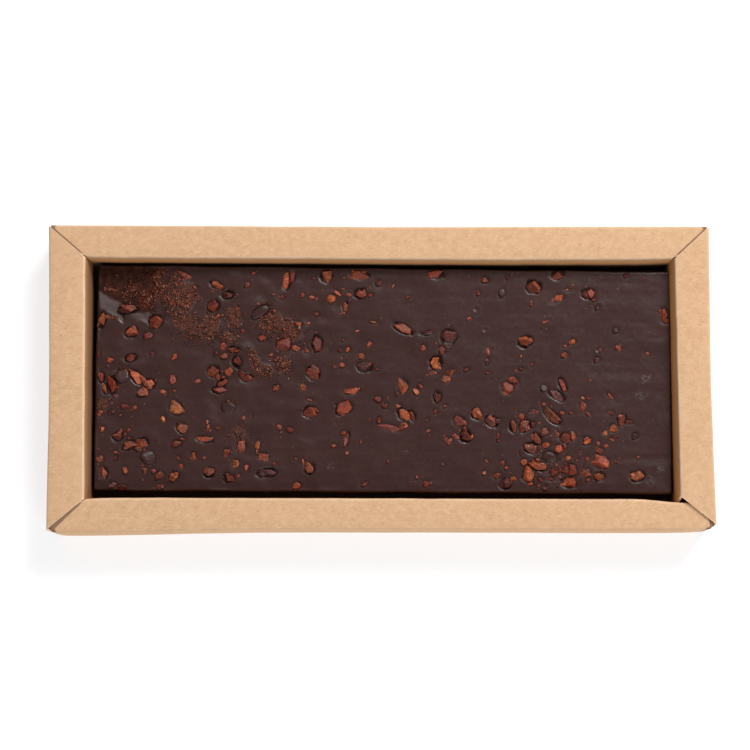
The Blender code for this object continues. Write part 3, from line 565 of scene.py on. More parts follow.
def nib_look():
    look = Look("cocoa nib")
    tint = look.attribute("tint", "Color")
    film = look.attribute("film")
    grain = look.noise(3.8, detail=4.0, rough=0.75)
    patch = look.noise(1.3, detail=3.0, rough=0.6)
    crack = look.noise(1.3, (0.7, 2.6, 1.4), 0.8, 3.0, 0.6, 17.0)
    darker = look.blend(1.0, tint, rgb(0.34, 0.23, 0.22), "MULTIPLY")
    lighter = look.blend(1.0, tint, rgb(1.65, 2.1, 1.9), "MULTIPLY")
    colour = look.blend(look.ramp(grain, 0.46, 0.6, 0.0, 0.75), tint, darker)
    colour = look.blend(look.ramp(patch, 0.52, 0.66, 0.0, 0.75), colour, lighter)
    # Cracks are painted near black: painted shade in them
    colour = look.blend(look.ramp(crack, 0.60, 0.68, 0.0, 0.8), colour, rgb(0.030, 0.009, 0.006))
    smear = look.plus(look.noise(0.8, detail=4.0, rough=0.65, shift=23.0), look.times(film, 0.62))
    smear = look.ramp(smear, 0.66, 0.82)
    colour = look.blend(look.times(smear, 0.85), colour, rgb(0.034, 0.014, 0.012))
    rough = look.blend(smear, rgb(0.45, 0.45, 0.45), rgb(0.3, 0.3, 0.3))
    normal = look.bump(look.plus(grain, look.times(crack, -1.2)), 0.09, 0.8)
    return look.finish(colour, rough, normal, 0.27)


def coated_look():
    look = Look("nib under chocolate")
    lumps = look.noise(1.3, detail=3.0, rough=0.5)
    fine = look.noise(4.0, detail=3.0, rough=0.6)
    colour = look.blend(look.ramp(fine, 0.45, 0.65), rgb(0.047, 0.0185, 0.0165), rgb(0.028, 0.011, 0.0095))
    normal = look.bump(fine, 0.03, 0.5, look.bump(lumps, 0.12, 0.8))
    return look.finish(colour, look.ramp(lumps, 0.3, 0.7, 0.3, 0.4), normal, 0.22)


# Card case


def rim_section(width, top):
    """The outer skin of a rim as (distance in, height, wear and painted highlight) and its inner skin as
    (distance in, height).
    """
    path = []
    quarter = [math.pi / 2 * i / 5 for i in range(6)]
    for turn in quarter:
        path.append((FOOT_RADIUS * (1 - math.sin(turn)), FOOT_RADIUS * (1 - math.cos(turn)), 0.1))
    for i in range(1, 6):
        path.append((0.0, FOOT_RADIUS + (top - FOLD_RADIUS - FOOT_RADIUS) * i / 6, 0.0))
    quarter = [math.pi / 2 * i / 6 for i in range(7)]
    # The folds are painted paler: partly wear, partly a painted highlight where they catch the light, most at
    # the inner fold
    for turn in quarter:
        bend, fall = FOLD_RADIUS * (1 - math.cos(turn)), FOLD_RADIUS * (1 - math.sin(turn))
        path.append((bend, top - fall, 0.3 * math.sin(2 * turn)))
    for i in range(1, 12):
        share = i / 12
        across = FOLD_RADIUS + (width - 2 * FOLD_RADIUS) * share
        path.append((across, top + RIM_CROWN * math.sin(math.pi * share) ** 0.6, 0.0))
    for turn in reversed(quarter):
        bend, fall = FOLD_RADIUS * (1 - math.cos(turn)), FOLD_RADIUS * (1 - math.sin(turn))
        path.append((width - bend, top - fall, 0.75 * math.sin(2 * turn)))
    for i in range(1, 6):
        path.append((width, top - FOLD_RADIUS - (top - FOLD_RADIUS - CARD * 0.6) * i / 5, 0.0))
    outer = np.array(path)
    step = np.gradient(outer[:, :2], axis=0)
    step /= np.linalg.norm(step, axis=1)[:, None]
    # The path runs up, across and down, so its right-hand side faces into the fold
    inner = outer[:, :2] + np.stack([step[:, 1], -step[:, 0]], axis=1) * CARD
    return outer, inner


def plain(along):
    """No bow and no rise."""
    return 0.0


def side_outer_bow(along):
    return -0.4 * math.sin(math.pi * along) ** 1.3


def front_outer_bow(along):
    swell = 0.75 * math.exp(-(((along - 0.03) / 0.16) ** 2)) - 0.15 * math.sin(math.pi * along) ** 2
    return swell - 0.6 * math.exp(-along / 0.005) - 0.5 * math.exp(-(1 - along) / 0.02)


def front_inner_bow(along):
    return 0.8 * float(ease((along - 0.89) / 0.07)) + 0.3 * math.exp(-along / 0.03)


def back_outer_bow(along):
    return -0.26 * math.sin(math.pi * along) ** 2


def back_inner_bow(along):
    even = min(1.0, (1 - abs(2 * along - 1)) / 0.12)
    dent = 0.17 * math.sin(math.pi * min(along / 0.68, 1.0)) ** 2
    return -0.22 * even - 0.1 * math.sin(math.pi * along) - dent


def right_rise(along):
    return FLARE_LIFT * math.exp(-((along / 0.25) ** 2))


def front_rise(along):
    return -0.12 * math.exp(-(((1 - along) / 0.06) ** 2))


def rim(
    name, corners, top, outer_bow, inner_bow, rise, look,
    seed, cut_wear_and_highlight, run_on, wall_on, lean, inner_shade, wall_shade,
):
    """One rim folded from a strip of card: foot, outer wall, crowned top and inner wall, cut to mitres."""
    (outer_a, outer_b), (inner_a, inner_b) = np.array(corners)
    run = (outer_b - outer_a) / np.linalg.norm(outer_b - outer_a)
    out = np.array([run[1], -run[0]])
    if out @ (outer_a - inner_a) < 0:
        out = -out
    length = np.linalg.norm(outer_b - outer_a)
    near = np.array([0.0, 0.1, 0.22, 0.4, 0.7, 1.0, 1.18, 1.34, 1.5])
    count = int(length / STATION_STEP)
    stations = np.concatenate([near, np.linspace(2.0, length - 2.0, count), length - near[::-1]]) / length
    points, wear, inner_shade_rows, deep = [], [], [], []
    for along in stations:
        reach = along * length
        grow = run_on * (2 * along - 1)
        edge = outer_a * (1 - along) + outer_b * along + out * outer_bow(along)
        fold = inner_a * (1 - along) + inner_b * along + out * inner_bow(along)
        edge = edge + out * 0.05 * smooth_noise(reach / 9, 3.5, seed + 2)
        uneven = 0.06 * smooth_noise(reach / 7, 7.5, seed + 3)
        uneven = uneven + 0.02 * smooth_noise(reach / 1.1, 1.5, seed + 4)
        fold = fold + out * uneven
        width = float((edge - fold) @ out)
        outer, inner = rim_section(width, top + rise(along))
        across = np.concatenate([outer[:, 0], inner[::-1, 0]])
        height = np.concatenate([outer[:, 1], inner[::-1, 1]])
        fold_wear_and_highlight = np.concatenate([outer[:, 2], np.zeros(len(inner))])
        share = np.clip(across / width, 0, 1)
        middle = np.sin(math.pi * share)
        wave = 0.07 * smooth_noise(reach / 14, seed, seed) + 0.025 * smooth_noise(reach / 2.3, seed, seed + 1)
        lift = wave * (0.3 + 0.7 * middle) * height / top
        # Pressed-in dints and fibres lifted by the printer's rollers
        lift = lift + 0.035 * smooth_noise(reach / 3.0, across / 2.2, seed + 7) * (height > top - 1.5)
        belly = np.sin(math.pi * np.clip(height / top, 0, 1))
        bulge = 0.10 * smooth_noise(reach / 22, height / 7, seed + 5) * belly
        place = edge[None] + (fold - edge)[None] * (across / width)[:, None]
        place = place + out[None] * np.where(across < 0.6, bulge, 0.0)[:, None]
        low = np.where(share > 0.9, ease((top - 0.8 - height) / 0.8), 0.0)
        place = place - out[None] * (lean * low * (1 - np.exp(-np.maximum(top - height, 0) / 4)))[:, None]
        place = place + run[None] * (wall_on[1] * along - wall_on[0] * (1 - along)) * low[:, None]
        # Only the top sheet runs on under its neighbours
        place = place + run[None] * (grow * ease((middle - 0.12) / 0.2) * (height > top - 2.2))[:, None]
        points.append(np.column_stack([place[:, 0], place[:, 1] + CASE_SHIFT, height + lift]))
        to_end = min(reach, length - reach)
        # The cut ends are painted paler: a painted highlight where the cut edge catches the light, with some
        # wear
        end_wear_and_highlight = 0.7 * cut_wear_and_highlight * math.exp(-((to_end / 0.16) ** 2))
        # A thin painted shadow line where this rim slips under its neighbour
        seam_shadow = 0.75 * float(ease((run_on + 0.28 - to_end) / 0.3)) if run_on else 0.0
        fold_wear_and_highlight = fold_wear_and_highlight * (0.7 + 0.3 * smooth_noise(reach / 1.7, across, seed + 6))
        wear.append(np.clip(fold_wear_and_highlight + end_wear_and_highlight, 0, 1))
        # The inner wall is painted a deeper brown, and darker low down: painted shade inside the case
        inside = ease((share - 0.9) / 0.05) * ease((top - 0.35 - height) / 0.9)
        inner_shade_rows.append(inner_shade * inside)
        shaded_low = np.where(share > 0.9, ease((SHADE_TOP - height) / SHADE_FADE), seam_shadow)
        deep.append(np.maximum(shaded_low, wall_shade * inside))
    section = len(across)
    half = section // 2
    faces = []
    for s in range(len(stations) - 1):
        for i in range(section):
            j = (i + 1) % section
            faces.append((s * section + i, s * section + j, (s + 1) * section + j, (s + 1) * section + i))
    total = len(stations) * section
    # Caps close the cut ends, with the same pale painted highlight and wear as the cut edge
    for station in (0, len(stations) - 1):
        points.append(points[station])
        for rows, value in ((wear, 0.9 * cut_wear_and_highlight + 0.1), (inner_shade_rows, 0.0), (deep, 0.0)):
            rows.append(np.full(section, value))
        for i in range(half - 1):
            face = (total + i, total + i + 1, total + section - 2 - i, total + section - 1 - i)
            faces.append(face[::-1] if station == 0 else face)
        total += section
    marks = {"wear": wear, "inner": inner_shade_rows, "deep": deep}
    values = {key: np.concatenate(mark) for key, mark in marks.items()}
    made = new_object(name, np.concatenate(points), faces, look, values=values)
    face_outwards(made)
    made.data.set_sharp_from_angle(angle=SHARP_ANGLE)
    return made


def case_floor(look):
    """The flat floor sheet inside the four feet."""
    inset = FOOT_RADIUS * 0.9
    corners = (
        (LEFT_RIM[0][0][0] + inset, BACK_RIM[0][1][1] - inset),
        (LEFT_RIM[0][1][0] + inset, FRONT_RIM[0][0][1] + inset - 0.3),
        (RIGHT_RIM[0][0][0] - inset, FRONT_RIM[0][1][1] + inset),
        (RIGHT_RIM[0][1][0] - inset, BACK_RIM[0][0][1] - inset),
    )
    cells_long, cells_deep = 60, 28
    points = []
    for level in (0.0, CARD):
        for j in range(cells_deep + 1):
            for i in range(cells_long + 1):
                u, v = i / cells_long, j / cells_deep
                left = np.array(corners[1]) * (1 - v) + np.array(corners[0]) * v
                right = np.array(corners[2]) * (1 - v) + np.array(corners[3]) * v
                x, y = left * (1 - u) + right * u
                rise = level + (0.06 * float(smooth_noise(x / 20, y / 20, 77)) if level else 0.0)
                points.append((x, y + CASE_SHIFT, rise))
    row = cells_long + 1
    upper = row * (cells_deep + 1)
    faces = []
    for j in range(cells_deep):
        for i in range(cells_long):
            a = j * row + i
            faces.append((a, a + row, a + row + 1, a + 1))
            faces.append((upper + a, upper + a + 1, upper + a + row + 1, upper + a + row))
    border = list(range(row)) + [j * row + cells_long for j in range(1, cells_deep + 1)]
    border += [cells_deep * row + i for i in range(cells_long - 1, -1, -1)]
    border += [j * row for j in range(cells_deep - 1, 0, -1)]
    for a, b in zip(border, border[1:] + border[:1]):
        faces.append((a, b, upper + b, upper + a))
    # The top of the floor is painted dark: painted shade inside the case
    deep = np.repeat([0.0, 1.0], upper)
    values = {"wear": 0 * deep, "inner": 0 * deep, "deep": deep}
    made = new_object("case_floor", points, faces, look, values=values)
    made.data.set_sharp_from_angle(angle=SHARP_ANGLE)
    return made


def corner_tab(name, corner, along_x, along_y, look):
    """A glued tab bent round the inside of a corner, from floor to rim."""
    reach, step, bend, inset, thick = 7.0, 0.6, 0.8, CARD * 0.95, 0.4
    low, tall, rows = 0.3, 14.1, 9
    path = [(reach - step * i, 0.0) for i in range(11)]
    path += [(bend * 0.29, bend * 0.29)]
    path += [(0.0, bend + step * i) for i in range(11)]
    points = []
    for k in range(rows):
        for skin in (inset, inset + thick):
            for x, y in path:
                px = corner[0] + along_x * (x + (skin if x < bend * 0.9 else 0.0))
                py = corner[1] + along_y * (y + (skin if y < bend * 0.9 else 0.0))
                points.append((px, py + CASE_SHIFT, low + tall * k / (rows - 1)))
    count = len(path)
    ring = list(range(count)) + list(range(2 * count - 1, count - 1, -1))
    faces = []
    for base in range(0, (rows - 1) * 2 * count, 2 * count):
        above = base + 2 * count
        for a, b in zip(ring, ring[1:] + ring[:1]):
            faces.append((base + a, base + b, above + b, above + a))
    for base in (0, (rows - 1) * 2 * count):
        for i in range(count - 1):
            faces.append((base + i, base + i + 1, base + count + i + 1, base + count + i))
    # Painted a deeper brown and, low down, dark: painted shade inside the case
    deep = ease((SHADE_TOP - np.array(points)[:, 2]) / SHADE_FADE)
    values = {"wear": 0 * deep, "inner": 0 * deep + 0.6, "deep": deep}
    made = new_object(name, points, faces, look, smooth=False, values=values)
    face_outwards(made)
    return made


def build_case():
    look = kraft_look()
    under = RIM_TOP - UNDER_RIM_DROP
    pieces = [
        # The left rim's inner wall gets extra painted shade
        rim(
            "rim_left", LEFT_RIM, RIM_TOP, side_outer_bow, plain, plain, look,
            seed=11, cut_wear_and_highlight=1.0, run_on=0.0, wall_on=(0.3, 0.6), lean=LEAN_SIDES, inner_shade=1.0, wall_shade=0.75,
        ),
        rim(
            "rim_right", RIGHT_RIM, RIM_TOP, side_outer_bow, plain, right_rise, look,
            seed=31, cut_wear_and_highlight=1.0, run_on=0.0, wall_on=(1.7, 0.3), lean=LEAN_SIDES, inner_shade=1.0, wall_shade=0.0,
        ),
        rim(
            "rim_back", BACK_RIM, under, back_outer_bow, back_inner_bow, plain, look,
            seed=51, cut_wear_and_highlight=0.0, run_on=UNDERLAP, wall_on=(0.2, 0.2), lean=LEAN_BACK, inner_shade=0.7, wall_shade=0.0,
        ),
        rim(
            "rim_front", FRONT_RIM, under, front_outer_bow, front_inner_bow, front_rise, look,
            seed=71, cut_wear_and_highlight=0.0, run_on=UNDERLAP, wall_on=(0.2, 0.2), lean=LEAN_FRONT, inner_shade=1.0, wall_shade=0.0,
        ),
        case_floor(look),
        corner_tab("tab_back_left", (-90.15, 41.45), 1, -1, look),
        corner_tab("tab_back_right", (89.9, 41.3), -1, -1, look),
        corner_tab("tab_front_left", (-89.45, -41.95), 1, 1, look),
        corner_tab("tab_front_right", (90.25, -41.25), -1, 1, look),
    ]
    for piece in pieces:
        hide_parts("card_case")
    return pieces


# Chocolate bar


def nib_table():
    """Nibs in the bar's own millimetres: x, y, half length, half width, turn, kind."""
    rows = []
    for px, py, long, wide, turn, kind in NIBS:
        x, y = bar_at(px, py, BAR_TOP + NIB_READ_AT)
        rows.append((x, y, long * PIXEL / 2, wide * PIXEL / 2, math.radians(turn) - BAR_TURN, kind))
    return rows


def patch_strength(x, y, patches):
    """The strongest of the patches at each point, fading out at its border."""
    total = np.zeros_like(x)
    for px, py, long, wide, turn, strength in patches:
        cx, cy = bar_at(px, py)
        c, s = math.cos(math.radians(turn)), math.sin(math.radians(turn))
        dx, dy = x - cx, y - cy
        across = np.hypot((c * dx + s * dy) / (long * PIXEL), (-s * dx + c * dy) / (wide * PIXEL))
        across = across + 0.25 * smooth_noise(x / 1.6, y / 1.6, 91)
        total = np.maximum(total, strength * ease((1.25 - across) / 0.7))
    return total


def torn_share(x, y):
    """Share of the torn corner and of the slope before it at each point, and the slope's fall."""
    px, py = picture_at(x, y)
    line = np.interp(px, [p[0] for p in TEAR], [p[1] for p in TEAR])
    behind = line - py + 1.6 * smooth_noise(x / 1.3, y / 1.3, 9)
    fade = ease((TEAR_END - px) / TEAR_FADE)
    slope, fall = np.zeros_like(px), np.zeros_like(px)
    for middle, half, deep in TEAR_SLOPES:
        part = ease((behind + deep) / 6) * ease((half + 4 - np.abs(px - middle)) / 4)
        # Falls away to the right and the back, so it mirrors the key light
        reach = (0.7 * (px - middle + 0.4 * half) + 0.7 * (behind + 0.6 * deep)) * PIXEL
        fall = fall + part * np.clip(0.22 * reach, -0.5, 1.6)
        slope = np.maximum(slope, part)
    return ease((behind + 1) / 3) * fade, slope, fall


def poured_face(x, y):
    """Height of the poured face over its level, in millimetres."""
    waves = np.sin(x * 0.071 + 0.6) * np.cos(y * 0.11 - 0.4)
    waves += 0.6 * np.sin(x * 0.19 + y * 0.05 + 1.9) * np.cos(y * 0.23 + 0.8)
    height = 0.06 * waves
    drift = y + 0.9 * smooth_noise(x / 13, y / 6, 22) + 0.25 * smooth_noise(x / 4, y / 2, 25)
    for size, along, across, seed in (
        (0.032, x / 17, drift / 2.1, 1), (0.010, x / 9, drift / 0.8, 2),
        (0.045, x / 5.5, y / 4.0, 3), (0.012, x / 1.5, y / 1.1, 4),
    ):
        height = height + size * smooth_noise(along, across, seed)
    # Left half is stirred up more by the nibs
    busy = ease((20 - x) / 60) * 0.7 + 0.3
    lumps = 0.12 * smooth_noise(x / 3.0, y / 2.6, 5) + 0.22 * smooth_noise(x / 7.3, y / 5.9, 26) - 0.1
    height = height + busy * lumps
    stirred = ease((-8 - x) / 12) * ease((y + 12) / 14)
    height = height + stirred * 0.16 * smooth_noise(x / 4.3 + 3, y / 2.9, 27)
    ledge_x, ledge_y = bar_at(*LEDGE)
    height = height - 0.10 * ease((x - ledge_x) / 4) * ease((ledge_y - y) / 0.7) * ease((y - ledge_y + 6) / 5)
    (lip_a, lip_y), (lip_b, _) = bar_at(*LIP[0]), bar_at(*LIP[1])
    on_lip = ease((x - lip_a) / 1.5) * ease((lip_b - x) / 1.5)
    from_lip = y - lip_y + 0.15 * smooth_noise(x / 0.9, 0.5, 6)
    height = height + 0.22 * on_lip * np.exp(-((from_lip / 0.22) ** 2))
    for px, py, radius in AIR_RINGS:
        cx, cy = bar_at(px, py)
        away = np.hypot(x - cx, y - cy) / (radius * PIXEL)
        height = height + 0.09 * np.exp(-(((away - 1) / 0.3) ** 2)) - 0.10 * np.exp(-((away / 0.7) ** 2))
    rough = patch_strength(x, y, DUST)
    grit = smooth_noise(x / 0.42, y / 0.42, 7) + 0.7 * smooth_noise(x / 0.8, y / 0.8, 8)
    height = height + rough * 0.13 * grit
    torn, _, fall = torn_share(x, y)
    ragged = 0.16 * smooth_noise(x / 1.6, y / 1.6, 12) + 0.07 * smooth_noise(x / 0.6, y / 0.6, 13)
    height = height - fall * (1 - torn) - torn * (0.95 + ragged)
    return height


def nib_seats(x, y, nibs):
    """Seats of the nibs and the hollows that large ones tore: height over the face, and how much painted
    shadow lies there.
    """
    chance = np.random.RandomState(NIB_SEED + 1)
    height, shade = np.zeros_like(x), np.zeros_like(x)
    for cx, cy, a, b, turn, kind in nibs:
        share = chance.uniform(0.4, 1.0)
        if a < SEAT_FROM:
            continue
        near = (np.abs(x - cx) < 3.2 * a + 1) & (np.abs(y - cy) < 3.2 * a + 1)
        dx, dy = x[near] - cx, y[near] - cy
        c, s = math.cos(turn), math.sin(turn)
        away = np.hypot((c * dx + s * dy) / a, (-s * dx + c * dy) / b)
        gap = (away - 1) * b
        depth = (0.07 + 0.09 * min(b, 2.0)) * share
        ragged = 1 + 0.6 * smooth_noise(x[near] / 0.9, y[near] / 0.9, 14)
        # Chocolate stands off a nib mostly on the side that the spatula left last
        side = 0.4 + 0.6 * ease(0.5 + 0.5 * (0.6 * dx + 0.8 * dy) / np.maximum(np.hypot(dx, dy), 1e-6))
        sink = -depth * ragged * side * np.exp(-((np.maximum(gap, 0) / 0.3) ** 2))
        height[near] += sink + 0.08 * depth * ragged * np.exp(-(((gap - 0.8) / 0.5) ** 2))
        # The narrow gap round a nib gets a painted shadow, strongest on its back right side
        dark = share * np.clip(ragged * side, 0, 1) * np.exp(-((np.maximum(gap - 0.1, 0) / 0.3) ** 2))
        shade[near] = np.maximum(shade[near], dark * min(1.0, 0.5 + 0.4 * b))
        # A large nib tore a hollow of its own as the spatula dragged it
        room, drag = chance.uniform(0.05, 0.4), chance.uniform(0.1, 0.5)
        heading = chance.uniform(0, ROUND)
        if kind == "c":
            room, drag = 0.35, 0.0
        whole = kind != "c" or a > BEAN_SHAPE * b
        if a > HOLLOW_FROM and chance.uniform(0, 1) < HOLLOW_SHARE and whole:
            dx, dy = dx - drag * math.cos(heading), dy - drag * math.sin(heading)
            away = np.hypot((c * dx + s * dy) / (a + room), (-s * dx + c * dy) / (b + room))
            away = away + 0.2 * smooth_noise(x[near] / 1.1, y[near] / 1.1, 21)
            away = away + 0.08 * smooth_noise(x[near] / 0.4, y[near] / 0.4, 24)
            pit = ease((1.12 - away) / 0.3)
            height[near] -= (0.14 + 0.2 * share) * pit
            # The hollow, wall and all, is filled with painted shadow
            shade[near] = np.maximum(shade[near], (0.55 + 0.45 * share) * np.clip(3 * pit, 0, 1))
    return height, shade


def axis_steps(half, fine):
    """Places across the bar, closer together at both edges."""
    edge = np.array([0.0, 0.06, 0.14, 0.24, 0.36, 0.5, 0.68, 0.9])
    middle = np.linspace(-half + 1.15, half - 1.15, int((2 * half - 2.3) / fine) + 1)
    return np.concatenate([-half + edge, middle, half - edge[::-1]])


def bar_outline(x, y, grow=0.0):
    """Moves points of a plain rectangle into the bar's plan, with rounded corners and wandering edges."""
    half_x, half_y = BAR_LENGTH / 2, BAR_WIDTH / 2
    u, v = x / half_x, y / half_y
    ax, ay = np.abs(x) - (half_x - BAR_CORNER), np.abs(y) - (half_y - BAR_CORNER)
    corner = (ax > 0) & (ay > 0)
    a, b = np.clip(ax / BAR_CORNER, 0, 1), np.clip(ay / BAR_CORNER, 0, 1)
    new_a, new_b = a * np.sqrt(1 - b * b / 2), b * np.sqrt(1 - a * a / 2)
    x = np.where(corner, np.sign(x) * (half_x - BAR_CORNER + BAR_CORNER * new_a), x)
    y = np.where(corner, np.sign(y) * (half_y - BAR_CORNER + BAR_CORNER * new_b), y)
    wander_x = 0.04 * np.sin(v * 9.0) + 0.05 * smooth_noise(v * 22, 0.5, 15)
    wander_x = wander_x + 0.32 * (u < 0) * np.exp(-(((v - 0.2) / 0.55) ** 2))
    wander_y = 0.08 * np.sin((2 * u + v) * 9.0) + 0.06 * smooth_noise(u * 60, 4.5, 16) + 0.2 * (v > 0)
    x = x + (grow + wander_x) * np.sign(u) * np.abs(u) ** 30
    y = y + (grow + wander_y) * np.sign(v) * np.abs(v) ** 14 - BAR_NARROWING * u * v / 2
    return x, y


def build_slab(nibs, look):
    """The chocolate itself, with the poured face's relief in its mesh."""
    half_x, half_y = BAR_LENGTH / 2, BAR_WIDTH / 2
    flat_x, flat_y = np.meshgrid(axis_steps(half_x, GRID_STEP), axis_steps(half_y, GRID_STEP))
    to_edge = np.minimum(half_x - np.abs(flat_x), half_y - np.abs(flat_y))
    x, y = bar_outline(flat_x, flat_y)
    seats, shade = nib_seats(x, y, nibs)
    face = poured_face(x, y) + seats
    inside = np.clip((EDGE_ROUND - to_edge) / EDGE_ROUND, 0, 1)
    drop = EDGE_ROUND * (1 - np.sqrt(np.clip(1 - inside**2, 0, 1)))
    z = BAR_TOP + face * ease(to_edge / 1.2 + 0.2) - drop
    index = np.arange(x.size).reshape(x.shape)
    cells = [index[:-1, :-1], index[:-1, 1:], index[1:, 1:], index[1:, :-1]]
    faces = [np.stack(cells, axis=-1).reshape(-1, 4)]
    border = np.concatenate([index[0, :-1], index[:-1, -1], index[-1, :0:-1], index[:0:-1, 0]])
    bx, by, bz = flat_x.ravel()[border], flat_y.ravel()[border], z.ravel()[border]
    rings = []
    for grow, depth in WALL_RINGS:
        rx, ry = bar_outline(bx, by)
        rx, ry = rx * (1 + grow / half_x), ry * (1 + grow / half_y)
        ripple = 0.05 * smooth_noise(bx / 2.0 + by, depth / 1.5, 18)
        rx = rx + ripple * np.sign(bx) * (np.abs(bx / half_x) > 0.99)
        ry = ry + ripple * np.sign(by) * (np.abs(by / half_y) > 0.99)
        rz = np.full(len(border), BAR_BOTTOM) if depth == 0.0 else bz - depth
        rings.append(np.stack([rx, ry, rz], axis=1))
    # The moulded underside, closed by rings that shrink to a line
    foot = rings[-1]
    for shrink in UNDERSIDE_RINGS:
        rings.append(foot * np.array([1 - (1 - shrink) * BAR_WIDTH / BAR_LENGTH, shrink, 1.0]))
    upper, total = border, x.size
    for _ in rings:
        ring = np.arange(total, total + len(border))
        faces.append(np.stack([upper, ring, np.roll(ring, -1), np.roll(upper, -1)], axis=1))
        upper = ring
        total += len(border)
    points = np.concatenate([np.stack([x.ravel(), y.ravel(), z.ravel()], axis=1)] + rings)
    points[:, 0], points[:, 1] = from_bar(points[:, 0], points[:, 1])
    torn, slope, _ = torn_share(x, y)
    marks = {
        "dust": patch_strength(x, y, DUST), "scuff": patch_strength(x, y, SCUFFS),
        "torn": torn, "seat": shade, "soft": slope * (1 - torn),
    }
    # The sides and the underside have no marks
    values = {key: np.concatenate([mark.ravel(), np.zeros(total - x.size)]) for key, mark in marks.items()}
    return new_object("chocolate_slab", points, np.concatenate(faces), look, values=values)


def fragment(base, chance, facets, power, rough=1.0):
    """A broken piece in a box from -1 to 1, with flat faces, chips and a grainy skin, and its shading."""
    normals = [(chance.uniform(-0.4, 0.4), chance.uniform(-0.4, 0.4), 1.0), (0.0, 0.0, -1.0)]
    depths = [chance.uniform(0.5, 0.7), 1.0]
    for _ in range(chance.randint(0, 3)):
        lean, angle = chance.uniform(0.6, 1.2), chance.uniform(0, ROUND)
        normals.append((lean * math.cos(angle), lean * math.sin(angle), 1.0))
        depths.append(chance.uniform(0.55, 0.8))
    sides = max(5, facets - 3)
    first = chance.uniform(0, ROUND)
    for i in range(sides):
        angle = first + 2 * math.pi * (i + chance.uniform(-0.3, 0.3)) / sides
        normals.append((math.cos(angle), math.sin(angle), chance.uniform(-0.1, 0.5)))
        depths.append(chance.uniform(0.68, 1.0))
    normals = np.array(normals)
    normals /= np.linalg.norm(normals, axis=1)[:, None]
    depths = np.array(depths)
    facing = np.maximum(base @ normals.T / depths, 1e-3)
    radius = np.minimum((facing**power).sum(axis=1) ** (-1 / power), 1.35)
    shade = chance.uniform(0.38, 1.4, len(depths))[facing.argmax(axis=1)]
    # Chips broken out of the sides
    for _ in range(chance.randint(0, 3)):
        axis = chance.normal(size=3)
        axis /= np.linalg.norm(axis)
        bite = ease((base @ axis - chance.uniform(0.6, 0.85)) / 0.08)
        radius = radius * (1 - chance.uniform(0.1, 0.35) * bite * rough)
        shade = shade * (1 - 0.35 * bite * rough)
    ripple = np.zeros(len(base))
    for step in range(12):
        wave = chance.normal(size=3) * (3.0 + step)
        ripple += np.abs(np.sin(base @ wave + chance.uniform(0, ROUND))) * 0.9 / (6 + step)
    ripple -= ripple.mean()
    points = base * (radius * (1 + 0.16 * rough * ripple))[:, None]
    low, high = points.min(axis=0), points.max(axis=0)
    points = (points - (low + high) / 2) / ((high - low) / 2)
    return points, shade * np.clip(1 + 1.3 * rough * ripple, 0.4, 1.6)


def true_outline(points, a, b, proud):
    """Stretches a nib so that what stands out of the face has this half length and half width."""
    seen = points[points[:, 2] > points[:, 2].max() - proud]
    low, high = seen.min(axis=0), seen.max(axis=0)
    flat = (points[:, :2] - (low + high)[:2] / 2) / ((high - low)[:2] / 2) * np.array([a, b])
    return np.column_stack([flat, points[:, 2]])


def broken_nib(a, b, big, chance):
    """A nib as it breaks: a few angular lumps grown together, with their faces and shading."""
    lumps = chance.randint(2, 4) if big else chance.randint(1, 3)
    points, faces, shades = [], [], []
    total = 0
    for i in range(lumps):
        base, triangles = BALLS[4 if i == 0 and a > 1.5 else 3]
        shape, shade = fragment(base, chance, chance.randint(7, 9), 60, 0.5)
        grow = chance.uniform(0.7, 0.95) if i == 0 else chance.uniform(0.42, 0.7)
        size = np.array([a * grow, b * grow * chance.uniform(0.75, 1.1), (0.7 * b + 0.3 * a) * grow])
        centre = [chance.uniform(-0.55, 0.55) * a, chance.uniform(-0.5, 0.5) * b]
        centre = np.array(centre + [chance.uniform(-0.35, 0.0) * b]) * (0.3 if i == 0 else 1.0)
        lean_x, lean_y = chance.uniform(-0.3, 0.3), chance.uniform(-0.3, 0.3)
        spin = turn_matrix(lean_x, lean_y, chance.uniform(-0.7, 0.7) * (b / a) ** 2)
        points.append((shape * size) @ spin.T + centre)
        bright = shade[:, None] * chance.uniform(0.72, 1.25)
        shades.append(bright * np.array([1.0, chance.uniform(0.9, 1.12), chance.uniform(0.88, 1.12)]))
        faces.append(triangles + total)
        total += len(shape)
    return np.concatenate(points), np.concatenate(faces), np.concatenate(shades)


def turn_matrix(x, y, z):
    return np.array(Euler((x, y, z)).to_matrix())


class Heap:
    """Gathers many small pieces into one mesh."""

    def __init__(self):
        self.points, self.faces, self.colours, self.films = [], [], [], []
        self.total = 0

    def put(self, points, faces, colours, films):
        self.points.append(points)
        self.faces.append(faces + self.total)
        self.colours.append(colours)
        self.films.append(films)
        self.total += len(points)

    def make(self, name, look, smooth=True):
        points = np.concatenate(self.points)
        points[:, 0], points[:, 1] = from_bar(points[:, 0], points[:, 1])
        return new_object(
            name, points, np.concatenate(self.faces), look, smooth,
            np.concatenate(self.colours), {"film": np.concatenate(self.films)},
        )


def face_levels(x, y, nibs=()):
    """Height of the face, with the seats of the nibs where these are given."""
    x, y = np.array(x, float), np.array(y, float)
    return BAR_TOP + poured_face(x, y) + nib_seats(x, y, nibs)[0]


